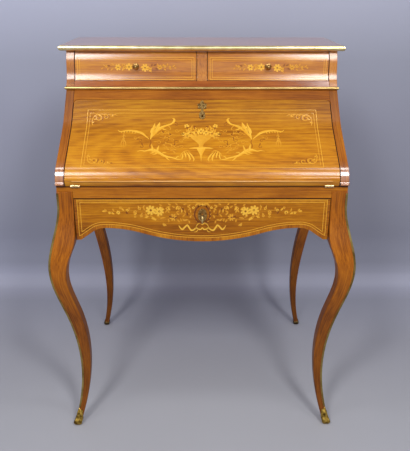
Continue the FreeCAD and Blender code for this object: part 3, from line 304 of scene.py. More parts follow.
slope_wood = wood(
    "slope_veneer", *EDGE_BROWN, "yz", 2.2, 0.8, 0.26, 0.03, 0.22, 2.2,
    # painted shade: darker towards the top of the slope
    foot=(0.86, 0.70, (0.66, 0.66, 0.7)), dull=(0.69, 0.76, 0.35), shine=(0.704, 0.722, 1.0),
)
# painted highlight: the bead's pale tones stand in for the light caught along the lip
lip_highlight_wood = wood("lip_painted_highlight", *LIP_HIGHLIGHT_GOLD, "x", 14.2, 0.6, 0.24, 0.6)
post_wood = wood("post_veneer", *MID_BROWN, "z", 2.9, 1.0, 0.26, 0.8, 0.24, 1.6)
banding_upright = wood("banding_across_x", *BANDING, "x", 4.8, 1.2, coat=0.2)
banding_level = wood("banding_across_z", *BANDING, "z", 8.3, 1.2, coat=0.2)
# painted shade: dark wood for the bands along narrow gaps, with some grime
gap_shade_and_grime_wood = wood("painted_gap_shade_and_grime", *GAP_SHADE_AND_GRIME, "x", 3.7, 0.8, 0.5, 0.0)
boxwood = inlay_wood("boxwood", (158, 92, 8), (222, 154, 28), (238, 184, 62))
honey = inlay_wood("honey_veneer", (118, 62, 4), (202, 132, 18), (226, 164, 46))
stained = inlay_wood("stained_veneer", (72, 30, 4), (122, 62, 8), (160, 92, 20))
line_wood = inlay_wood("stringing", (190, 122, 20), (226, 160, 40), (238, 180, 62))

# Finishes by the nodes that have them
FINISHES = {
    "flap": wood(
        "flap_veneer", *GOLDEN, "x", 0.0, 1.1, coat=0.05, coat_rough=0.2, coat_ior=1.6,
        # painted shade: darker towards the top of the flap, full colour on the lower bulge
        foot=(0.85, 0.715, (0.68, 0.68, 0.70)), dull=(0.70, 0.80, 0.2), shine=(0.710, 0.732, 0.5),
        rings=((0.24, -0.17, 0.74), (6, 26, 26), 0.05),
    ),
    "drawer_front": wood("drawer_veneer", *DRAWER_BROWN, "x", 3.1, 1.1, coat=0.1),
    "upper_drawer_*_front": wood("upper_veneer", *UPPER_BROWN, "x", 12.4, 1.0, 0.24, 0.8, 0.20, 1.6),
    "front_rail writing_board back_apron partition_* inner_shelves"
    " inner_drawer_left inner_drawer_right":
        wood("rail_veneer", *MID_BROWN, "x", 7.7, coat=0.2),
    "*_side_panel": wood("panel_veneer", *MID_BROWN, "y", 5.2),
    "header_rail": wood("header_veneer", *HEADER_BROWN, "x", 10.7, gloss=0.5, coat=0.0),
    "centre_post": post_wood,
    "top_board upper_front_rail": wood("top_veneer", *RED_BROWN, "x", 9.3, gloss=0.24, coat=0.9),
    "*_leg": wood(
        "leg_walnut", *LEG_BROWN, "z", 1.4, 0.9, 0.40, 0.14, straight=True,
        # painted shade: the legs darken towards the floor
        foot=(0.15, 0.5, (0.54, 0.53, 0.55)),
    ),
    "left_apron right_apron": wood("apron_walnut", *LEG_BROWN, "xy", 6.6, 0.9),
    "back_panel drawer_bottom drawer_back upper_bottom_board":
        wood("oak_across", *OAK, "x", 4.4, 0.8, 0.5, 0.0),
    "drawer_runners drawer_kickers drawer_sides upper_divider upper_drawer_*_box":
        wood("oak_deep", *OAK, "y", 6.1, 0.8, 0.5, 0.0),
    "top_brass_edge inner_drawer_*_knob": brass("old_brass", (248, 230, 176), (220, 194, 128), 0.30, 25),
    "brass_strip": brass("strip_brass", (208, 180, 116), (168, 140, 84), 0.34, 25),
    "leg_brass_strips": brass("leg_brass", (178, 156, 92), (132, 108, 56), 0.36),
    "front_*_sabot": brass("foot_brass", (204, 168, 80), (108, 80, 28), 0.30, 140, 0.2),
    # painted shade: the back sabots have a darker copy of the sabot brass
    "back_*_sabot": brass("back_sabot_brass_painted_shade", (118, 96, 58), (66, 50, 30), 0.36, 110),
    "hinge_*": brass("pale_brass", (240, 214, 164), (168, 134, 82), 0.30, 260, 0.4),
    "flap_lock_plate drawer_key_plate upper_drawer_*_knob":
        brass("plate_brass", (206, 166, 98), (112, 76, 38), 0.34, 300, 0.5),
    "drawer_key": brass("key_brass", (246, 218, 150), (170, 134, 70), 0.30, 200, 0.3),
    "*_leather": leather("writing_leather", (92, 48, 22), (140, 84, 42)),
    "flap_lock flap_lock_bolt drawer_lock drawer_lock_bolt": iron("lock_iron"),
}
FINISH_OF = {
    name: material for patterns, material in FINISHES.items()
    for pattern in patterns.split() for name in fnmatch.filter(NODES, pattern)
}
for name, material in FINISH_OF.items():
    mesh = NODES[name].data
    for index in range(len(mesh.materials)):
        mesh.materials[index] = material


B, H, S = boxwood, honey, stained
WOOD_OF = {"B": B, "H": H, "S": S}


def rows(text):
    """Table from text: rows parted by commas, values by spaces, woods named by their letter."""
    return [[WOOD_OF.get(word) or float(word) for word in row.split()] for row in text.split(",")]


# Pieces in place of CAD nodes: boards with eased edges, rounded legs, sabots and knobs


def add_mesh(name, verts, faces, materials, smooth=True):
    mesh = bpy.data.meshes.new(name)
    mesh.from_pydata(verts, [], faces)
    for material in materials:
        mesh.materials.append(material)
    for face in mesh.polygons:
        face.use_smooth = smooth
    return add_object(name, mesh)


def make_piece(name, rings, material, body):
    """Skin over rings, riding a body."""
    piece = add_mesh(name, *lofted(rings), [material])
    form = bmesh.new()
    form.from_mesh(piece.data)
    bmesh.ops.recalc_face_normals(form, faces=form.faces)
    form.to_mesh(piece.data)
    form.free()
    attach(piece, body)
    return piece


def replacement(node, suffix, rings):
    """Piece in place of a CAD node, with its finish and on its body."""
    piece = make_piece(node + suffix, rings, FINISH_OF[node], BODY_OF[node])
    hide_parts(node)
    return piece


# Boards with the width of their eased edges, and the width of the dark band along those edges: painted
# shade of the narrow gap beside them, with some grime
UPPER_GAPS = {"right": 0.0008, "left": 0.0008, "bottom": 0.0008}
BOARDS = {
    "top_board": (0.0010, {}),
    "left_side_panel": (0.0015, {"right": 0.0007}),
    "right_side_panel": (0.0015, {"left": 0.0007}),
    "flap": (0.0018, {"right": 0.0010, "left": 0.0010}),
    "drawer_front": (0.0012, {"top": 0.0011, "right": 0.0010, "left": 0.0010}),
    "front_rail": (0.0012, {"bottom": 0.0011}),
    "header_rail": (0.0006, {}),
    # painted shade: the band at the top edge stands for the shadow under the flap's lip
    "writing_board": (0.0020, {"top": 0.0032}),
    "upper_drawer_left_front": (0.0009, UPPER_GAPS),
    "upper_drawer_right_front": (0.0009, UPPER_GAPS),
    "centre_post": (0.0009, {}),
    "flap_lock_plate": (0.0006, {}),
    "drawer_key_plate": (0.0006, {}),
}
OUTWARD = {"right": (1, 0, 0), "left": (-1, 0, 0), "top": (0, 0, 1), "bottom": (0, 0, -1)}
SHARP_ANGLE = math.radians(32)
# Front edges of the side panels have their own veneer, and another beside the upper drawers
UPPER_ROW = 0.872
FRONT_SLOT, GAP_SHADE_AND_GRIME_SLOT, POST_SLOT = 1, 2, 3


def tight_joint(node, point, low, high):
    """Whether an edge meets its neighbour without a gap and stays as it is."""
    if node == "front_rail":
        return point.z > high.z - 0.001
    return node == "writing_board" and point.z < low.z + 0.001


def soften(node, width, gaps):
    """Copy of a CAD board with its edges eased, in place of the board."""
    form = bmesh.new()
    form.from_mesh(NODES[node].data)
    bmesh.ops.remove_doubles(form, verts=form.verts, dist=1e-6)
    bmesh.ops.dissolve_limit(
        form, angle_limit=math.radians(0.5), use_dissolve_boundaries=False, verts=form.verts,
        edges=form.edges,
    )
    low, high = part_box(node)
    sharp = []
    for edge in form.edges:
        if edge.is_manifold and edge.calc_face_angle() > SHARP_ANGLE:
            if tight_joint(node, (edge.verts[0].co + edge.verts[1].co) / 2, low, high):
                edge.smooth = False
            else:
                sharp.append(edge)
    bmesh.ops.bevel(
        form, geom=sharp, offset=width, segments=2, profile=0.5, affect="EDGES", clamp_overlap=True
    )
    for face in form.faces:
        face.smooth = True
        if node.endswith("_side_panel") and abs(face.normal.x) < 0.5:
            upper = face.calc_center_median().z > UPPER_ROW
            face.material_index = POST_SLOT if upper else FRONT_SLOT
    # painted shade: faces in a band along an edge beside a gap take the dark gap wood
    for side, band in gaps.items():
        normal = Vector(OUTWARD[side])
        point = (high if side in ("right", "top") else low) - normal * band
        bmesh.ops.bisect_plane(
            form, geom=form.verts[:] + form.edges[:] + form.faces[:], plane_co=point, plane_no=normal
        )
        for face in form.faces:
            if (face.calc_center_median() - point).dot(normal) > 0:
                face.material_index = GAP_SHADE_AND_GRIME_SLOT
    mesh = bpy.data.meshes.new(node + "_eased")
    form.to_mesh(mesh)
    form.free()
    for material in (FINISH_OF[node], slope_wood, gap_shade_and_grime_wood, post_wood):
        mesh.materials.append(material)
    piece = add_object(node + "_eased", mesh)
    shading = piece.modifiers.new("even_shading", "WEIGHTED_NORMAL")
    shading.weight = 100
    shading.keep_sharp = True
    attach(piece, BODY_OF[node])
    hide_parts(node)


for node, (width, gaps) in BOARDS.items():
    soften(node, width, gaps)


class LegSections:
    """A leg's limits to the left, right, front and back at any height, read from the CAD leg."""

    def __init__(self, node):
        mesh = NODES[node].data
        verts = np.array([v.co for v in mesh.vertices])
        ends = verts[np.array([e.vertices for e in mesh.edges])]
        self.low, self.high = verts[:, 2].min(), verts[:, 2].max()
        self.heights = np.linspace(self.low + 1e-5, self.high - 1e-5, 120)
        limits = []
        for height in self.heights:
            start, stop = ends[:, 0], ends[:, 1]
            across = (start[:, 2] - height) * (stop[:, 2] - height) < 0
            start, stop = start[across], stop[across]
            share = (height - start[:, 2]) / (stop[:, 2] - start[:, 2])
            points = start + (stop - start) * share[:, None]
            limits.append([*points[:, :2].min(0), *points[:, :2].max(0)])
        limits = np.array(limits)
        for step in range(2):
            limits[1:-1] = limits[:-2] * 0.25 + limits[1:-1] * 0.5 + limits[2:] * 0.25
        self.limits = limits

    def at(self, height):
        return [np.interp(height, self.heights, self.limits[:, k]) for k in range(4)]


def rounded_ring(limits, radii, grow=0.0, points=6):
    """Rounded rectangle from the corner at least x and y, anticlockwise; one radius per corner."""
    x0, y0, x1, y1 = limits[0] - grow, limits[1] - grow, limits[2] + grow, limits[3] + grow
    ring = []
    for (cx, cy, turn), radius in zip(((x0, y0, 180), (x1, y0, 270), (x1, y1, 0), (x0, y1, 90)), radii):
        inward_x, inward_y = (1 if cx == x0 else -1), (1 if cy == y0 else -1)
        for k in range(points):
            angle = math.radians(turn + 90 * k / (points - 1))
            ring.append((
                cx + radius * (inward_x + math.cos(angle)), cy + radius * (inward_y + math.sin(angle))
            ))
    return ring


def lofted(rings):
    """Closed skin over rings of equal length."""
    count = len(rings[0])
    faces = [tuple(reversed(range(count)))]
    for row in range(len(rings) - 1):
        a, b = row * count, (row + 1) * count
        for k in range(count):
            nxt = (k + 1) % count
            faces.append((a + k, a + nxt, b + nxt, b + k))
    faces.append(tuple(range((len(rings) - 1) * count, len(rings) * count)))
    return [vert for ring in rings for vert in ring], faces


def fade(value, low, high):
    share = max(0.0, min(1.0, (value - low) / (high - low)))
    return share * share * (3 - 2 * share)


CRISP_ARRIS, BANDED_ARRIS = 0.0008, 0.0007
ROUND_SHARE = 0.11
ROUND_BELOW, SQUARE_ABOVE = 0.42, 0.60


def make_leg(name, legs, outer, banded):
    """Leg with rounded arrises; the outer arris of a front leg stays crisp under its brass strip."""
    rings = []
    for height in (legs.low, *np.linspace(legs.low + 0.004, legs.high - 0.001, 104), legs.high):
        limits = legs.at(height)
        size = min(limits[2] - limits[0], limits[3] - limits[1])
        rounding = 1 - fade(height, ROUND_BELOW, SQUARE_ABOVE)
        radius = CRISP_ARRIS + (ROUND_SHARE * size - CRISP_ARRIS) * rounding
        radii = [radius] * 4
        if banded:
            radii[outer] = BANDED_ARRIS
        rings.append([(x, y, height) for x, y in rounded_ring(limits, radii)])
    piece = replacement(name + "_leg", "_rounded", rings)
    straight = piece.data.attributes.new("straight", "FLOAT_VECTOR", "POINT")
    for vert, value in zip(piece.data.vertices, straight.data):
        x0, y0, x1, y1 = legs.at(vert.co.z)
        value.vector = (vert.co.x - (x0 + x1) / 2, vert.co.y - (y0 + y1) / 2, vert.co.z)
    piece.modifiers.new("even_shading", "WEIGHTED_NORMAL").weight = 60


# Shoe's thickness over the leg and at its rim, and what its midrib, toe and lobes add
SHOE, SHOE_RIM, MIDRIB, TOE, LOBE = 0.0016, 0.0004, 0.0012, 0.0022, 0.0022


def make_sabot(name, legs, outer, banded):
    """Cast shoe: rounded toe, leaf rising up the outer arris with a midrib and lobes, thin rim."""
    tip, rim = (0.046, 0.016) if banded else (0.022, 0.013)
    points = 8
    count = 4 * points
    middle = outer * points + (points - 1) / 2
    steps = 16

    def ring_at(height, grow, sole):
        limits = legs.at(max(height, legs.low))
        shrink = 0.0
        if height < sole:
            lift = 1 - height / sole
            shrink = sole * 0.8 * (1 - math.sqrt(max(0.0, 1 - lift * lift)))
        size = limits[2] - limits[0]
        return rounded_ring(limits, [0.30 * size] * 4, grow - shrink, points)

    outside, inside = [], []
    for step in range(steps + 1):
        share = step / steps
        outside.append([])
        inside.append([])
        for k in range(count):
            away = min((k - middle) % count, (middle - k) % count) / (count / 2)
            leaf = math.cos(min(1.0, away * 1.25) * math.pi / 2) ** 1.6
            lobes = LOBE * math.cos(away * math.pi * 7) * (1 - leaf) if banded else 0.0
            height = share * (rim + (tip - rim) * leaf + lobes)
            swell = SHOE * (1 - fade(share, 0.75, 1.0)) + SHOE_RIM
            if banded:
                swell += MIDRIB * math.exp(-((away * 9) ** 2)) * fade(share, 0.1, 0.3)
                swell += TOE * math.exp(-((away * 3.2) ** 2) - ((height - 0.012) / 0.006) ** 2)
            outside[-1].append((*ring_at(height, swell, 0.007)[k], height))
            inside[-1].append((*ring_at(height, -0.0015, 0.0005)[k], height))
    replacement(name + "_sabot", "_cast", outside + inside[::-1][:-4])


# in the order of rounded_ring's corners, so that the outer arris has the leg's number
for outer, name in enumerate(("front_left", "front_right", "back_right", "back_left")):
    leg = name, LegSections(name + "_leg"), outer, "front" in name
    make_leg(*leg)
    make_sabot(*leg)


KNOB_STEPS = 48
KNOB_LENGTH = 0.018
LOBE_DEPTH = 0.09
# Radius, depth from the drawer front and share of lobing, from the tip backwards, in mm
KNOB = rows("""
.4 -18 0, 2.2 -17.8 0, 4 -16.9 0, 5.4 -15.2 0, 6 -13 0, 6 -11.6 0, 5.5 -9.8 0, 4.3 -8.2 0, 3 -7 0,
2.6 -5.6 0, 2.9 -4.4 0, 4.4 -3.4 .3, 6.4 -2.7 .8, 7.8 -1.9 1, 8.4 -1 1, 8.4 .4 1, 2 .6 0, 2 5.5 0
""")
PLAIN_KNOB = KNOB[:11] + rows("4.4 -1.6 0, 4.5 0 0, 2 .2 0, 2 5.5 0")


def turned(node, profile, lobes):
    """Turned knob about an axis along Y, in place of the CAD knob."""
    low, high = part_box(node)
    centre = Vector(((low.x + high.x) / 2, low.y + KNOB_LENGTH, (low.z + high.z) / 2))
    rings = []
    for radius, depth, lobed in profile:
        rings.append([])
        for k in range(KNOB_STEPS):
            angle = 2 * math.pi * k / KNOB_STEPS
            reach = radius * (1 + lobed * LOBE_DEPTH * math.cos(lobes * angle)) / 1000
            x, z = centre.x + reach * math.cos(angle), centre.z + reach * math.sin(angle)
            rings[-1].append((x, centre.y + depth / 1000, z))
    replacement(node, "_turned", rings)


for side in ("left", "right"):
    turned("upper_drawer_" + side + "_knob", KNOB, 8)
    turned("inner_drawer_" + side + "_knob", PLAIN_KNOB, 0)


# Marquetry: thin pieces of veneer let into the flap and the drawer fronts


class Face:
    """Front that runs straight across and may curve up and down; heights along it are in mm."""

    def __init__(self, profile):
        self.keys = [row[0] for row in profile]
        self.rows = profile

    def at(self, across, up, lift):
        k = max(1, min(len(self.rows) - 1, bisect_right(self.keys, up)))
        (v0, y0, z0), (v1, y1, z1) = self.rows[k - 1], self.rows[k]
        share = (up - v0) / (v1 - v0)
        run = Vector((y1 - y0, z1 - z0)).normalized()
        return (
            across / 1000,
            y0 + (y1 - y0) * share - run.y * lift / 1000,
            z0 + (z1 - z0) * share + run.x * lift / 1000,
        )


def struck(node, direction):
    """Function that gives the point where a ray of that direction meets a CAD node."""
    mesh = NODES[node].data
    tree = BVHTree.FromPolygons([v.co for v in mesh.vertices], [p.vertices for p in mesh.polygons])
    return lambda origin: tree.ray_cast(Vector(origin), Vector(direction))[0]


FLAP_TILT = math.radians(39.1)
FLAP_PIVOT = Vector((0, -0.2232, 0.666))
FLAP_REACH = 255.7


def flap_face():
    """The slope by length along it; the flap's upper edge is at FLAP_REACH."""
    along = Vector((0, math.cos(FLAP_TILT), math.sin(FLAP_TILT)))
    out = Vector((0, -math.sin(FLAP_TILT), math.cos(FLAP_TILT)))
    cast = struck("flap", -out)
    start = FLAP_PIVOT + Vector((0.2, 0, 0))
    top, step, count = 0.2495, 0.0015, 156
    points = [cast(start + along * (top - step * k) + out * 0.2) for k in range(count)]
    profile, length = [], FLAP_REACH
    for before, point in zip([points[0]] + points, points):
        length -= (point - before).length * 1000
        profile.append((length, point.y, point.z))
    return Face(profile[::-1])


def upright_face(node, x):
    """A drawer front by height."""
    low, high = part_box(node)
    cast = struck(node, (0, 1, 0))
    profile = []
    for k in range(60):
        height = low.z + 0.0006 + (high.z - low.z - 0.0012) * k / 59
        profile.append((height * 1000, cast((x, low.y - 0.2, height)).y, height))
    return Face(profile)


def smooth(points, step=3.0):
    """Points along a smooth curve through the given ones."""
    points = [Vector(p) for p in points]
    ends = [points[0] * 2 - points[1]] + points + [points[-1] * 2 - points[-2]]
    line = [points[0]]
    for a, b, c, e in zip(ends, ends[1:], ends[2:], ends[3:]):
        count = max(2, math.ceil((c - b).length / step))
        for k in range(1, count + 1):
            t = k / count
            line.append(0.5 * (
                2 * b + (c - a) * t + (2 * a - 5 * b + 4 * c - e) * t ** 2
                + (3 * b - a - 3 * c + e) * t ** 3
            ))
    return line


def make_lip_bead():
    """Small round bead along the lower edge of the flap, thinned where the open flap comes to the legs."""
    height = 0.6807
    face = struck("flap", (0, 1, 0))((0.2, -0.4, height)).y
    turns = [math.radians(30 * k) for k in range(12)]
    rings = []
    for x in (-0.3272, -0.3115, -0.3085, 0.3085, 0.3115, 0.3272):
        size, lift = (0.0016, 0.0008) if abs(x) < 0.31 else (0.0004, 0.0)
        rings.append([(x, face - lift + size * math.sin(t), height + size * math.cos(t)) for t in turns])
    piece = make_piece("flap_lip_bead", rings, lip_highlight_wood, "flap")


make_lip_bead()


def towards(degrees):
    angle = math.radians(degrees)
    return Vector((math.cos(angle), math.sin(angle)))


class Inlay:
    """Cut pieces of veneer on one face, gathered in one mesh; measures are in mm."""

    WOODS = (boxwood, honey, stained, line_wood, banding_upright, banding_level)
    LAYERS, LAYER_STEP = 12, 0.006
    SUNK = -0.3

    def __init__(self, face, middle=0.0):
        self.face, self.middle = face, middle
        self.mirror, self.layer = 1, 0
        self.verts, self.faces, self.shades, self.woods = [], [], [], []

    def ribbon(self, spine, widths, wood, shades, lift=0.15):
        """Piece along a spine, with its half width at each point; shades run from side to side."""
        spine = [Vector(p) for p in spine]
        self.layer = (self.layer + 1) % self.LAYERS
        lift += self.layer * self.LAYER_STEP
        first = len(self.verts)
        for i, (point, width) in enumerate(zip(spine, widths)):
            run = spine[min(i + 1, len(spine) - 1)] - spine[max(i - 1, 0)]
            side = Vector((-run.y, run.x)).normalized() * max(width, 0.08)
            left, right = point + side, point - side
            for corner, depth in ((left, lift), (right, lift), (right, self.SUNK), (left, self.SUNK)):
                self.verts.append(self.face.at(self.middle + self.mirror * corner.x, corner.y, depth))
            self.shades += [shades[0], shades[1], shades[1], shades[0]]
        last = len(self.verts) - 4
        quads = [(first + 3, first + 2, first + 1, first)]
        for a in range(first, last, 4):
            quads += [(a + k, a + (k + 1) % 4, a + 4 + (k + 1) % 4, a + 4 + k) for k in range(4)]
        quads.append((last, last + 1, last + 2, last + 3))
        if self.mirror < 0:
            quads = [quad[::-1] for quad in quads]
        self.faces += quads
        self.woods += [self.WOODS.index(wood)] * len(quads)

    def line(self, points, width):
        spine = []
        for a, b in zip(points, points[1:]):
            a, b = Vector(a), Vector(b)
            count = max(1, math.ceil((b - a).length / 4))
            spine += [a.lerp(b, k / count) for k in range(count)]
        spine.append(Vector(points[-1]))
        self.ribbon(spine, [width] * len(spine), line_wood, (0.6, 0.75))

    def rectangle(self, wide, low, high, width):
        for up in (low, high):
            self.line([(-wide, up), (wide, up)], width)
        for side in (-wide, wide):
            self.line([(side, low - width), (side, high + width)], width)

    def brush(self, strokes, wood=boxwood, shades=(0.5, 0.95)):
        """Curved piece through points given as (across, up, half width)."""
        line = smooth(strokes, 2.5)
        self.ribbon([point.xy for point in line], [point.z for point in line], wood, shades)

    def brushes(self, table):
        for wood, *strokes in table:
            self.brush(strokes, wood)

    def stem(self, points, width):
        spine = smooth(points)
        last = len(spine) - 1
        self.ribbon(spine, [width * (1 - 0.55 * i / last) for i in range(last + 1)], honey, (0.4, 0.7))

    def leaf(self, base, heading, length, width, bend, wood, shades=(0.25, 0.95)):
        """Pointed leaf from its base, heading and bend in degrees."""
        shares = (0, 0.12, 0.28, 0.45, 0.62, 0.78, 0.9, 1.0)
        spine = [Vector(base)]
        for before, share in zip(shares, shares[1:]):
            turn = heading + bend * (share + before) / 2
            spine.append(spine[-1] + towards(turn) * length * (share - before))
        widths = [width * math.sin(math.pi * share ** 0.85) ** 0.9 for share in shares]
        self.ribbon(spine, widths, wood, shades)

    def disc(self, centre, radius, wood):
        spots = [math.cos(math.pi * (1 - k / 8)) for k in range(9)]
        spine = [Vector(centre) + Vector((radius * spot, 0)) for spot in spots]
        widths = [radius * math.sqrt(max(0.0, 1 - spot * spot)) for spot in spots]
        self.ribbon(spine, widths, wood, (0.5, 0.9), 0.22)

    def flower(self, centre, radius, petals, turn, wood=boxwood, heart=stained, shades=(0.6, 1.0)):
        centre = Vector(centre)
        shares = (0, 0.2, 0.45, 0.68, 0.85, 0.95, 1.0)
        rounds = [math.sqrt(max(0.0, share ** 1.2 * (1 - share ** 5))) for share in shares]
        widths = [radius * 2.1 / petals * part * 1.1 + 0.1 for part in rounds]
        for k in range(int(petals)):
            away = towards(turn + 360 * k / petals)
            self.ribbon([centre + away * radius * share for share in shares], widths, wood, shades)
        self.disc(centre, radius * 0.22, heart)

    def leaves(self, table, width, bend, base=0.0, scale=1.0):
        for x, up, turn, length, wood in table:
            self.leaf((x, base + up), turn, length * scale, width, bend, wood)

    def flowers(self, table, spin, base=0.0):
        for x, up, radius, petals, wood in table:
            self.flower((x, base + up), radius, petals, x * spin, wood)

    def make(self, name, body):
        piece = add_mesh(name, self.verts, self.faces, self.WOODS, False)
        piece.data.polygons.foreach_set("material_index", self.woods)
        shade = piece.data.attributes.new("shade", "FLOAT", "POINT")
        shade.data.foreach_set("value", self.shades)
        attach(piece, body)


def strokes(text):
    """Strokes, one to a line: wood, then across, up and half width of each point, 0.3 if left out.

    A line that ends with a comma goes on in the next one.
    """
    lines = text.strip().replace(",\n", ",").split("\n")
    return [(WOOD_OF[line[0]], *((*point, 0.3)[:3] for point in rows(line[1:]))) for line in lines]


# Tables of the marquetry, in mm from the middle and up the face. A leaf is its base, heading, length and
# wood; a flower is its centre, radius, petals and wood.
# stringing by half length, lower and upper height and half width
FLAP_FRAME = ((290, 41.5, 225.5, 0.7), (283.5, 48, 216, 0.45))
# in the corners, from the corner of the inner line
CORNER_SCROLL = strokes("""
H 6 25 .4, 9 12 1.3, 18 5 1.7, 28 9 1.5, 29 18 1.2, 21 21 1, 16 15 .9, 22 12 .5
H 24 5 .6, 34 4 1.3, 43 6 1.3, 45 13 1.1, 39 16 .9, 36 11 .5
H 42 5 .5, 51 3.5 1.1, 58 6 1.1, 57 11 .8, 52 9 .4
H 57 5 .4, 63 5 1.6, 69 8
H 8 16 .4, 6 28 1.4, 9 38
""")
CORNER_LEAVES = rows("""
12 9 40 9, 10 20 -20 8, 22 5 60 7, 27 18 -70 8, 33 4 50 8, 41 15 -60 7, 48 4 45 7, 55 10 -50 6, 62 6 20 7,
7 30 -35 7
""")
CORNER_SHADOWS = strokes("""
S 30 8 .4, 33 15 1.3, 32 22
S 46 6 .4, 48 12 1.1, 47 17
""")
BOWL_MIDDLE = -3.0
# broad leaf that opens upwards, with a hook towards the middle
BROAD_LEAF = strokes("""
B 112 157 2, 103 168 4.2, 94 175 3.4, 84 179.5 2.4, 76 182.8 2.2, 70 188 2.7, 67 194 2.9, 68.5 199.5 1.7,
73 200.4
B 121 147 1.5, 124 158 2.8, 122.6 172
B 120 148 3, 120 162 4.4, 118 173 3.2, 115.8 187
B 125 132 1, 122.5 142 3, 118.5 152 6, 113 163 7.6, 108.5 173 6.2, 105.5 181 3.2, 103.5 189
B 99 172 .8, 93 166 2, 86 165
H 86 179 .6, 79 174 1.1, 76 167 .9, 80 164 .4
S 121 150, 115 166 .5, 110 181
S 119 152, 117.5 164 .5, 117 176
S 113 160, 103 171.5 .5, 92 177
""")
# arch to the side, scalloped below, and what hangs from it
ARCH = strokes("""
B 128.6 133.4 .8, 136 142 1.7, 147 153 3.2, 157 158 3.6, 167 161 3, 182 162.4 2.3, 195 159.8 1.8,
202 158.5 1.5, 208 164.5
""")
ARCH_LEAVES = rows("163 158 7, 170 159 7, 177 160.5 6, 184 160 6, 191 159 5")
TASSEL = strokes("""
H 190 158 .5, 192 150 .8, 191.3 130 .9, 189.6 106
H 192 138 .4, 196.4 122 1, 195.7 106
H 191 134 .4, 186 122 1, 184 109
""")
# arm with a star of prongs at its middle
LOWER_ARM = strokes("""
B 156 92, 146 94.5 1.5, 137.6 92.9 1.7, 129 95.1 2.7, 119.6 96.5 5, 109.7 92 5, 99.7 85.4 3.6, 92 79 3.1,
80 74 2.5, 68 70.8 2, 55.6 66 1.6, 43.6 67.6 .4
B 117 96 2.4, 119 105 2.2, 121.6 116
B 107 91 2.4, 105.6 101 2.4, 102.6 112.5
B 112 94 2, 118 88 1.8, 125 86
B 106 89 1.8, 111 84 1.6, 118 82
B 88 76.5 .8, 81 68 1.6, 74.8 62.5
B 62 68.5 .5, 58 74 1.5, 53 77
B 97 84 .8, 91 88 1.5, 84 88
S 124 97, 112 94.5 .5, 98 85.5 .4, 84 76
S 126 132 .4, 123 122 1, 126 112 .8, 124 102 .4
""")
# beside the foot of the bowl
PALMETTE = strokes("""
H 51 74 .4, 47 84 1.5, 40 92 1.9, 32 94 1.4, 25 89
B 41 91 .5, 38 81 2, 36.4 70
B 36 91 .5, 30 79 2.2, 27 68 1.8, 28 61
B 31 91 .4, 23 79 1.9, 17.5 67 1.5, 19.5 59
B 45 86 .4, 45 75 1.9, 47 66
""")
# thin curls in the field, by centre, radius and turn
CURLS = rows("""
98 150 6 20 H, 86 130 6 150 S, 72 130 5 60 H, 60 162 6 200 H, 60 124 6 320 S, 88 104 5 100 H,
70 102 5 240 H, 104 122 6 40 H, 50 128 5 180 H, 62 182 5 90 S, 84 160 5 280 H, 48 108 5 30 H,
150 128 5 60 S, 162 138 5 200 H, 146 108 5 120 S
""")
SPRAYS = strokes("""
H 100 160, 92 152 .8, 84 152 .9, 80 158 .4
H 104 140, 92 136 .8, 80 140 .9, 72 148 .8, 64 148
H 96 112, 84 118 .8, 72 114 .9, 62 104 .8, 54 104
H 86 100, 76 96 .8, 66 92 .7, 60 84
""")
SPRAY_LEAVES = rows("""
93 153 60, 84 152 200, 90 136.4 100, 82 139 230, 75 145 60, 86 117 80, 74 115 250, 66 108 120, 78 97 60,
68 93 240
""")
BOWL_LEAVES = rows("""
8 144 62 24 H, 15 143 40 24 H, 22 142 18 22 B, 26 146 55 26 H, 5 150 84 22 H, 32 168 50 12 S,
40 152 -20 12 S, 24 166 96 14 H, 34 142 -30 14 H, 14 164 75 15 S
""")
BOWL_FLOWERS = rows("""
27 151 9.5 6 B, 42.4 150.4 7 5 B, 34.8 140.5 6.5 5 H, 12.5 154 9 6 B, 28 165 7 5 H, 36 177 6.5 5 B,
15 168 5.5 5 H
""")
# height and half width
BOWL = rows("148 19, 145 24, 141 26, 136 24, 130 18.5, 124 12.5, 118 7.5, 112 5, 107 6, 104 10")
BOWL_DROP = rows("102 11, 97 9.5, 91 6.5, 85 4, 78 2.4, 70 1.4, 60 .2")
BOWL_RIM = rows("-30 101.5 .2, -18 103.5 2.2, 0 104 3, 18 103.5 2.2, 30 101.5 .2")
DRAWER_STEMS = (
    rows("238 602, 219 601, 195 602, 172 604, 150 601, 125 597, 96 592, 62 594, 30 596"),
    rows("140 600, 132 590, 118 583, 96 580, 72 583, 48 578"),
)
DRAWER_LEAVES = rows("""
244 602 180 8 B, 232 604 30 7 H, 222 598 200 8 B, 214 602 60 8 H, 205 600 250 7 H, 190 604 40 8 B,
186 602 230 8 S, 176 606 70 7 H, 168 602 250 8 H, 160 598 320 8 B, 150 605 55 12 B, 143 609 100 9 H,
140 596 240 12 H, 131 590 330 10 B, 125 584 200 12 B, 112 580 30 13 B, 103 582 160 13 H, 96 572 250 9 H,
92 606 30 13 B, 87 610 150 9 H, 78 604 60 11 B, 64 606 110 11 B, 66 612 20 8 H, 57 606 60 10 B,
50 598 90 13 B, 44 604 40 9 S, 36 612 130 9 B, 30 610 50 9 H, 82 590 200 9 S, 60 588 320 9 S,
46 577 160 12 H, 40 578 20 10 H, 36 590 70 9 S, 30 584 110 8 H, 94 566 60 6 H, 94 566 190 6 H
""")
DRAWER_FOLIAGE = rows("""
90 598 120 11, 80 597 60 11, 64 598 140 11, 56 592 40 11, 48 586 120 11, 40 598 60 10, 34 604 130 10,
84 582 250 10, 62 580 220 10, 54 584 250 10, 112 590 200 11, 128 592 240 10, 140 604 70 9, 146 598 300 9,
34 578 240 9, 28 598 80 9, 76 618 20 9, 46 618 150 9, 60 618 40 8, 98 617 20 8
""")
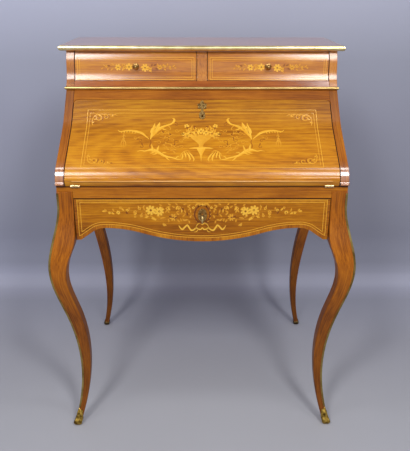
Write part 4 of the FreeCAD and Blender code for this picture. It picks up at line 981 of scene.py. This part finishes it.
DRAWER_FLOWERS = rows("""
236 603 3.4 5 H, 226 598 3.4 5 B, 204.7 599 5 5 B, 199 611 3.4 5 H, 182.5 605 3.8 5 B, 163 601 4 5 H,
153 609 4.2 5 H, 149 590 3.8 5 H, 164 588 3.2 5 H, 94 566 3.4 5 B, 71 586 9.5 8 H, 56 611 4.2 5 H,
22 611 3.6 5 B, 85 609 4.6 5 H
""")
BOW = rows("0 617 1.6, 7 622 2.6, 13 621 2.4, 18 614 .4")
RIBBON = rows("""
58 565 .7, 53 557 1.7, 48.5 554.5 2.1, 42.5 561 1.9, 37 565.5 2.1, 32 558 1.9, 27 552 2.2, 21 553.5 1.9,
15 558 1.8, 9 555 1.7, 4 554.5 1.6, 0 559 1.2
""")
RIBBON_ENDS = strokes("""
B 16 559 .5, 12 567 1.3, 5 571 1.4, 0 566 .8
B 10 556 .4, 14 549 1.1, 21 547.5
""")
# on the upper drawers: stringing by its distance from the ends, the rest up from the middle of the knob
UPPER_FRAME = ((7, 886.5, 940.5, 0.55), (12.5, 892, 935, 0.45))
UPPER_STEMS = (
    rows("-9 0, -30 2, -52 -2, -72 1, -88 0"), rows("9 0, 30 -3, 48 2, 66 -1, 84 2, 100 0"),
)
UPPER_LEAVES = rows("""
-28 2 110 8 H, -31 -2 230 8 B, -36 3 60 7 H, -56 4 140 9 H, -58 -3 210 9 H, -66 3 160 8 S, -70 -2 230 7 H,
-80 2 130 7 H, -84 -2 200 7 H, 36 -6 300 8 H, 40 2 60 9 S, 46 4 20 9 S, 50 -2 330 9 S, 56 3 80 7 H,
68 3 40 8 H, 72 -3 320 8 H, 80 4 60 7 H, 86 -2 330 7 H, 94 2 20 8 H, 99 0 340 6 H
""")
UPPER_FLOWERS = rows("""
-17.6 1 9 6 B, -46 0 8 6 B, 23.6 -1 10 7 B, 36 -5 5.5 5 H, 62 0 6.5 6 H, -30 -1 4.2 5 H, 75 2 3.6 5 H,
88 1 3 5 H, -76 2 3.2 5 H
""")


def flap_frame(inlay):
    """Two lines of stringing round the flap, scrolls in the corners of the inner one."""
    for lines in FLAP_FRAME:
        inlay.rectangle(*lines)
    wide, low, high = FLAP_FRAME[1][:3]
    for inlay.mirror in (-1, 1):
        for corner, up in ((low, 1), (high, -1)):
            def at(x, y, *half):
                return (wide - x, corner + up * y, *half)

            def scrolls(table):
                for wood, *points in table:
                    inlay.brush([at(*point) for point in points], wood)

            scrolls(CORNER_SCROLL)
            for x, y, turn, length in CORNER_LEAVES:
                wood = (H, B, S)[int(x) % 3]
                inlay.leaf(at(x, y), 180 - up * turn, length, 1.5, up * 25, wood)
            scrolls(CORNER_SHADOWS)
            inlay.disc(at(23, 15), 2.0, S)


def flap_marquetry():
    """A bowl of flowers between two leafy scrolls, in a frame of stringing."""
    inlay = Inlay(flap_face())
    flap_frame(inlay)
    inlay.middle = BOWL_MIDDLE
    for inlay.mirror in (-1, 1):
        inlay.brushes(BROAD_LEAF + ARCH)
        for x, up, length in ARCH_LEAVES:
            inlay.leaf((x, up), -62, length, 1.7, -30, B)
        inlay.leaf((203, 159), -160, 9, 1.4, 40, B)
        inlay.brushes(TASSEL)
        for up, length in ((148, 9), (139, 9), (130, 8)):
            for turn in (-34, 34):
                inlay.leaf((191.6, up), -90 + turn, length, 1.3, -turn * 0.6, H)
        inlay.brushes(LOWER_ARM + PALMETTE)
        for x, up, radius, turn, wood in CURLS:
            curl = []
            for k in range(9):
                angle, reach = math.radians(turn + 46 * k), radius * (1 - 0.085 * k)
                curl.append((x + reach * math.cos(angle), up + reach * math.sin(angle), 0.75 - 0.06 * k))
            inlay.brush(curl, wood)
            inlay.leaf(curl[0][:2], turn - 60, 9, 1.5, 30, wood)
        inlay.brushes(SPRAYS)
        for x, up, turn in SPRAY_LEAVES:
            inlay.leaf((x, up), turn, 9, 1.6, 20, (H, S)[int(x) % 2])
        inlay.leaves(BOWL_LEAVES, 3.0, 15)
        inlay.flowers(BOWL_FLOWERS, 7)
    for outline, wood, shades in ((BOWL, H, (0.7, 0.9)), (BOWL_DROP, B, (0.5, 0.75))):
        inlay.ribbon([(0, up) for up, half in outline], [half for up, half in outline], wood, shades)
    inlay.brush(BOWL_RIM)
    for x in (-17, -8.5, 0, 8.5, 17):
        inlay.brush([(x * 0.25, 114, 0.3), (x * 0.6, 127, 0.45), (x, 142, 0.3)], S)
    inlay.flower((0, 160), 9.5, 6, 90)
    inlay.make("flap_marquetry", "flap")


def drawer_marquetry():
    """Double stringing along all edges; two flower sprays, a ring round the key plate and a ribbon."""
    node = "drawer_front"
    low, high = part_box(node)
    inlay = Inlay(Face([(corner.z * 1000, low.y, corner.z) for corner in (low, high)]))
    cast = struck(node, (0, 0, 1))
    half, top = high.x * 1000, high.z * 1000

    def edge(x):
        probe = min(abs(x), half - 13) / 1000
        return cast((probe, low.y + 0.004, low.z - 0.2)).z * 1000

    def along_edge(offset, reach, count=90):
        points = []
        for k in range(count + 1):
            x = reach * (2 * k / count - 1)
            slant = (edge(x + 2) - edge(x - 2)) / 4
            points.append((x, edge(x) + offset * math.hypot(1, slant)))
        return points

    def band(spine, width, wood, shade):
        inlay.ribbon(spine, [width] * len(spine), wood, (shade, shade), 0.08)

    outer, inner = half - 8, half - 15
    for reach, offset, drop in ((outer, 10, 2.6), (inner, 15.5, 9.5)):
        lower = along_edge(offset, reach)
        for x, foot in ((-reach, lower[0]), (reach, lower[-1])):
            inlay.line([(x, foot[1] - 0.6), (x, top - drop + 0.6)], 0.6)
        inlay.line([(-reach, top - drop), (reach, top - drop)], 0.6)
        inlay.line(lower, 0.6)
    band([(outer * (k / 30 - 1), top - 6) for k in range(61)], 3.2, H, 0.32)
    band(along_edge(5.0, half - 11, 120), 4.4, banding_level, 0.5)
    foot = edge(half - 13)
    for inlay.mirror in (-1, 1):
        upright = [(half - 4.2, foot + 1 + k * (top - foot - 2) / 20) for k in range(21)]
        band(upright, 3.4, banding_upright, 0.5)
        # spray, from its tip to the ring
        for points in DRAWER_STEMS:
            inlay.stem(points, 0.6)
        inlay.leaves(DRAWER_LEAVES, 2.5, 18, scale=1.12)
        for x, up, turn, length in DRAWER_FOLIAGE:
            inlay.leaf((x, up), turn, length, 2.2, 20, (H, B, H, S)[int(x) % 4], (0.35, 0.85))
        inlay.flowers(DRAWER_FLOWERS, 1)
        for x, up, radius in ((125.5, 604.5, 13), (105, 601.5, 12)):
            inlay.flower((x, up), radius, 8, x, B, S, (0.8, 1.0))
            inlay.flower((x, up), radius * 0.6, 6, x + 20, B, H, (0.9, 1.0))
        # ring round the key plate, a bow over it and a ribbon below
        turns = [math.radians(angle) for angle in range(-90, 91, 12)]
        ring = [(19 * math.cos(turn), 594 + 23 * math.sin(turn)) for turn in turns]
        inlay.ribbon(ring, [2.0] * len(ring), S, (0.3, 0.6))
        for k, point in enumerate(ring[1:-1]):
            inlay.leaf(point, -16 + 12 * k, 6, 1.3, 20, (H, S)[k % 2])
        inlay.brush(BOW, H)
        inlay.brush(RIBBON, B, (0.8, 1.0))
        inlay.brushes(RIBBON_ENDS)
    inlay.disc((0, 620), 2.8, B)
    inlay.make("drawer_marquetry", "large_drawer")


def upper_marquetry(side, sign):
    """Double stringing on the lower part of the front and a flower spray to both sides of the knob."""
    node = "upper_drawer_%s_front" % side
    low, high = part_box(node)
    knob_low, knob_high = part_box("upper_drawer_%s_knob" % side)
    inlay = Inlay(upright_face(node, sign * 0.06), (knob_low.x + knob_high.x) * 500)
    half = (high.x - low.x) * 500
    for inset, *lines in UPPER_FRAME:
        inlay.rectangle(half - inset, *lines)
    middle = (knob_low.z + knob_high.z) * 500 - 2
    for points in UPPER_STEMS:
        inlay.stem([(x, middle + up) for x, up in points], 0.5)
    inlay.leaves(UPPER_LEAVES, 1.9, 15, middle)
    inlay.flowers(UPPER_FLOWERS, 5, middle)
    inlay.make("upper_%s_marquetry" % side, "upper_drawer_" + side)


flap_marquetry()
drawer_marquetry()
upper_marquetry("left", -1)
upper_marquetry("right", 1)


# Floor, backdrop and light


def paper(name, floor, wall, right):
    """Matt paper, clear from behind, with painted light and shade: tones by depth on the floor and by
    height up the wall, in metres.
    """
    n = Nodes(name)
    place = n.place()
    tone = n.noise(place, 1.4, 3.0, 0.6)
    fibres = n.noise(place, 240.0, 2.0)
    across, depth, height = n.add("SeparateXYZ", {0: place}).outputs

    def along(value, stops):
        low, high = stops[0][0], stops[-1][0]
        shares = (((at - low) / (high - low), colour) for at, colour in stops)
        return n.tones(n.span(value, low, high), *shares)

    # painted shade: the right of the wall is darker
    painted_right_shade = n.ramp(n.span(across, -0.8, 0.8), (0.0, WHITE), (1.0, right))
    upright = n.mix(1.0, along(height, wall), painted_right_shade, "MULTIPLY")
    shade = n.mix(n.span(height, 0.002, 0.03), along(depth, floor), upright)
    shade = n.mix(1.0, shade, n.ramp(tone, (0.3, (0.96, 0.96, 0.96)), (0.7, WHITE)), "MULTIPLY")
    material = n.finish(fibres, 0.04, 0.0004, Base_Color=shade, Roughness=0.75, Specular_IOR_Level=0.2)
    surface = n.tree.nodes["Material Output"].inputs["Surface"]
    clear = n.add("BsdfTransparent").outputs[0]
    behind = n.add("NewGeometry").outputs["Backfacing"]
    seen = n.add("MixShader", {0: behind, 1: surface.links[0].from_socket, 2: clear}).outputs[0]
    n.tree.links.new(seen, surface)
    return material


# Painted light and shade on the paper: the floor lighter in front and at the cove, darker under the desk;
# the wall lighter at the top and at the cove
FLOOR_PAINTED_LIGHT = (
    (-0.50, (178, 178, 184)), (-0.19, (178, 178, 184)), (0.14, (168, 168, 177)), (0.43, (174, 175, 188)),
    (0.56, (196, 197, 214)),
)
WALL_PAINTED_LIGHT = (
    (0.02, (182, 184, 204)), (0.06, (158, 160, 178)), (0.19, (154, 156, 173)), (0.40, (159, 161, 178)),
    (0.64, (162, 164, 182)), (0.86, (168, 171, 189)), (1.10, (190, 193, 214)),
)
WALL_RIGHT_PAINTED_SHADE = (0.89, 0.88, 0.86)


def make_stage():
    """One sheet of pale paper: floor, cove and wall."""
    half, front, bend, radius, top = 4.0, -4.0, 0.52, 0.16, 3.6
    line = [(front, 0.0), (bend, 0.0)]
    for step in range(1, 13):
        turn = math.radians(90 * step / 12)
        line.append((bend + radius * math.sin(turn), radius * (1 - math.cos(turn))))
    line.append((bend + radius, top))
    verts = [(side * half, y, z) for y, z in line for side in (-1, 1)]
    faces = [(2 * i, 2 * i + 1, 2 * i + 3, 2 * i + 2) for i in range(len(line) - 1)]
    material = paper("studio_paper_painted_light", FLOOR_PAINTED_LIGHT, WALL_PAINTED_LIGHT, WALL_RIGHT_PAINTED_SHADE)
    floor = add_mesh("studio_paper_painted_light", verts, faces, [material])


def softbox(name, place, aim, size, power, mirrored=True):
    """Area light; a fill light isn't mirrored in polish and brass."""
    data = bpy.data.lights.new(name, "AREA")
    data.shape = "RECTANGLE"
    data.size, data.size_y = size
    data.energy = power
    lamp = add_object(name, data)
    lamp.visible_glossy = mirrored
    lamp.location = place
    lamp.rotation_euler = (Vector(aim) - Vector(place)).to_track_quat("-Z", "Y").to_euler()


make_stage()
softbox("softbox_right", (0.92, -2.2, 2.65), (0.1, 0, 0.75), (0.45, 0.9), 32)
softbox("softbox_left", (-0.92, -2.2, 2.65), (-0.1, 0, 0.75), (0.50, 0.85), 32)
softbox("softbox_front", (0.0, -3.4, 1.5), (0, 0, 0.5), (2.6, 1.4), 11)
softbox("fill_front", (0.0, -3.4, 1.5), (0, 0, 0.5), (2.6, 1.4), 13, False)
softbox("lamp_right", (0.76, -0.60, 2.6), (0.3, -0.2, 0.7), (0.35, 0.35), 4.8)
softbox("lamp_left", (-0.76, -0.50, 2.6), (-0.3, -0.2, 0.7), (0.35, 0.35), 4)
world = bpy.data.worlds.new("studio")
world.use_nodes = True
sky = world.node_tree.nodes["Background"].inputs
sky["Color"].default_value = (0.80, 0.82, 0.90, 1)
sky["Strength"].default_value = 0.31
SCENE.world = world
SCENE.view_settings.view_transform = "Standard"
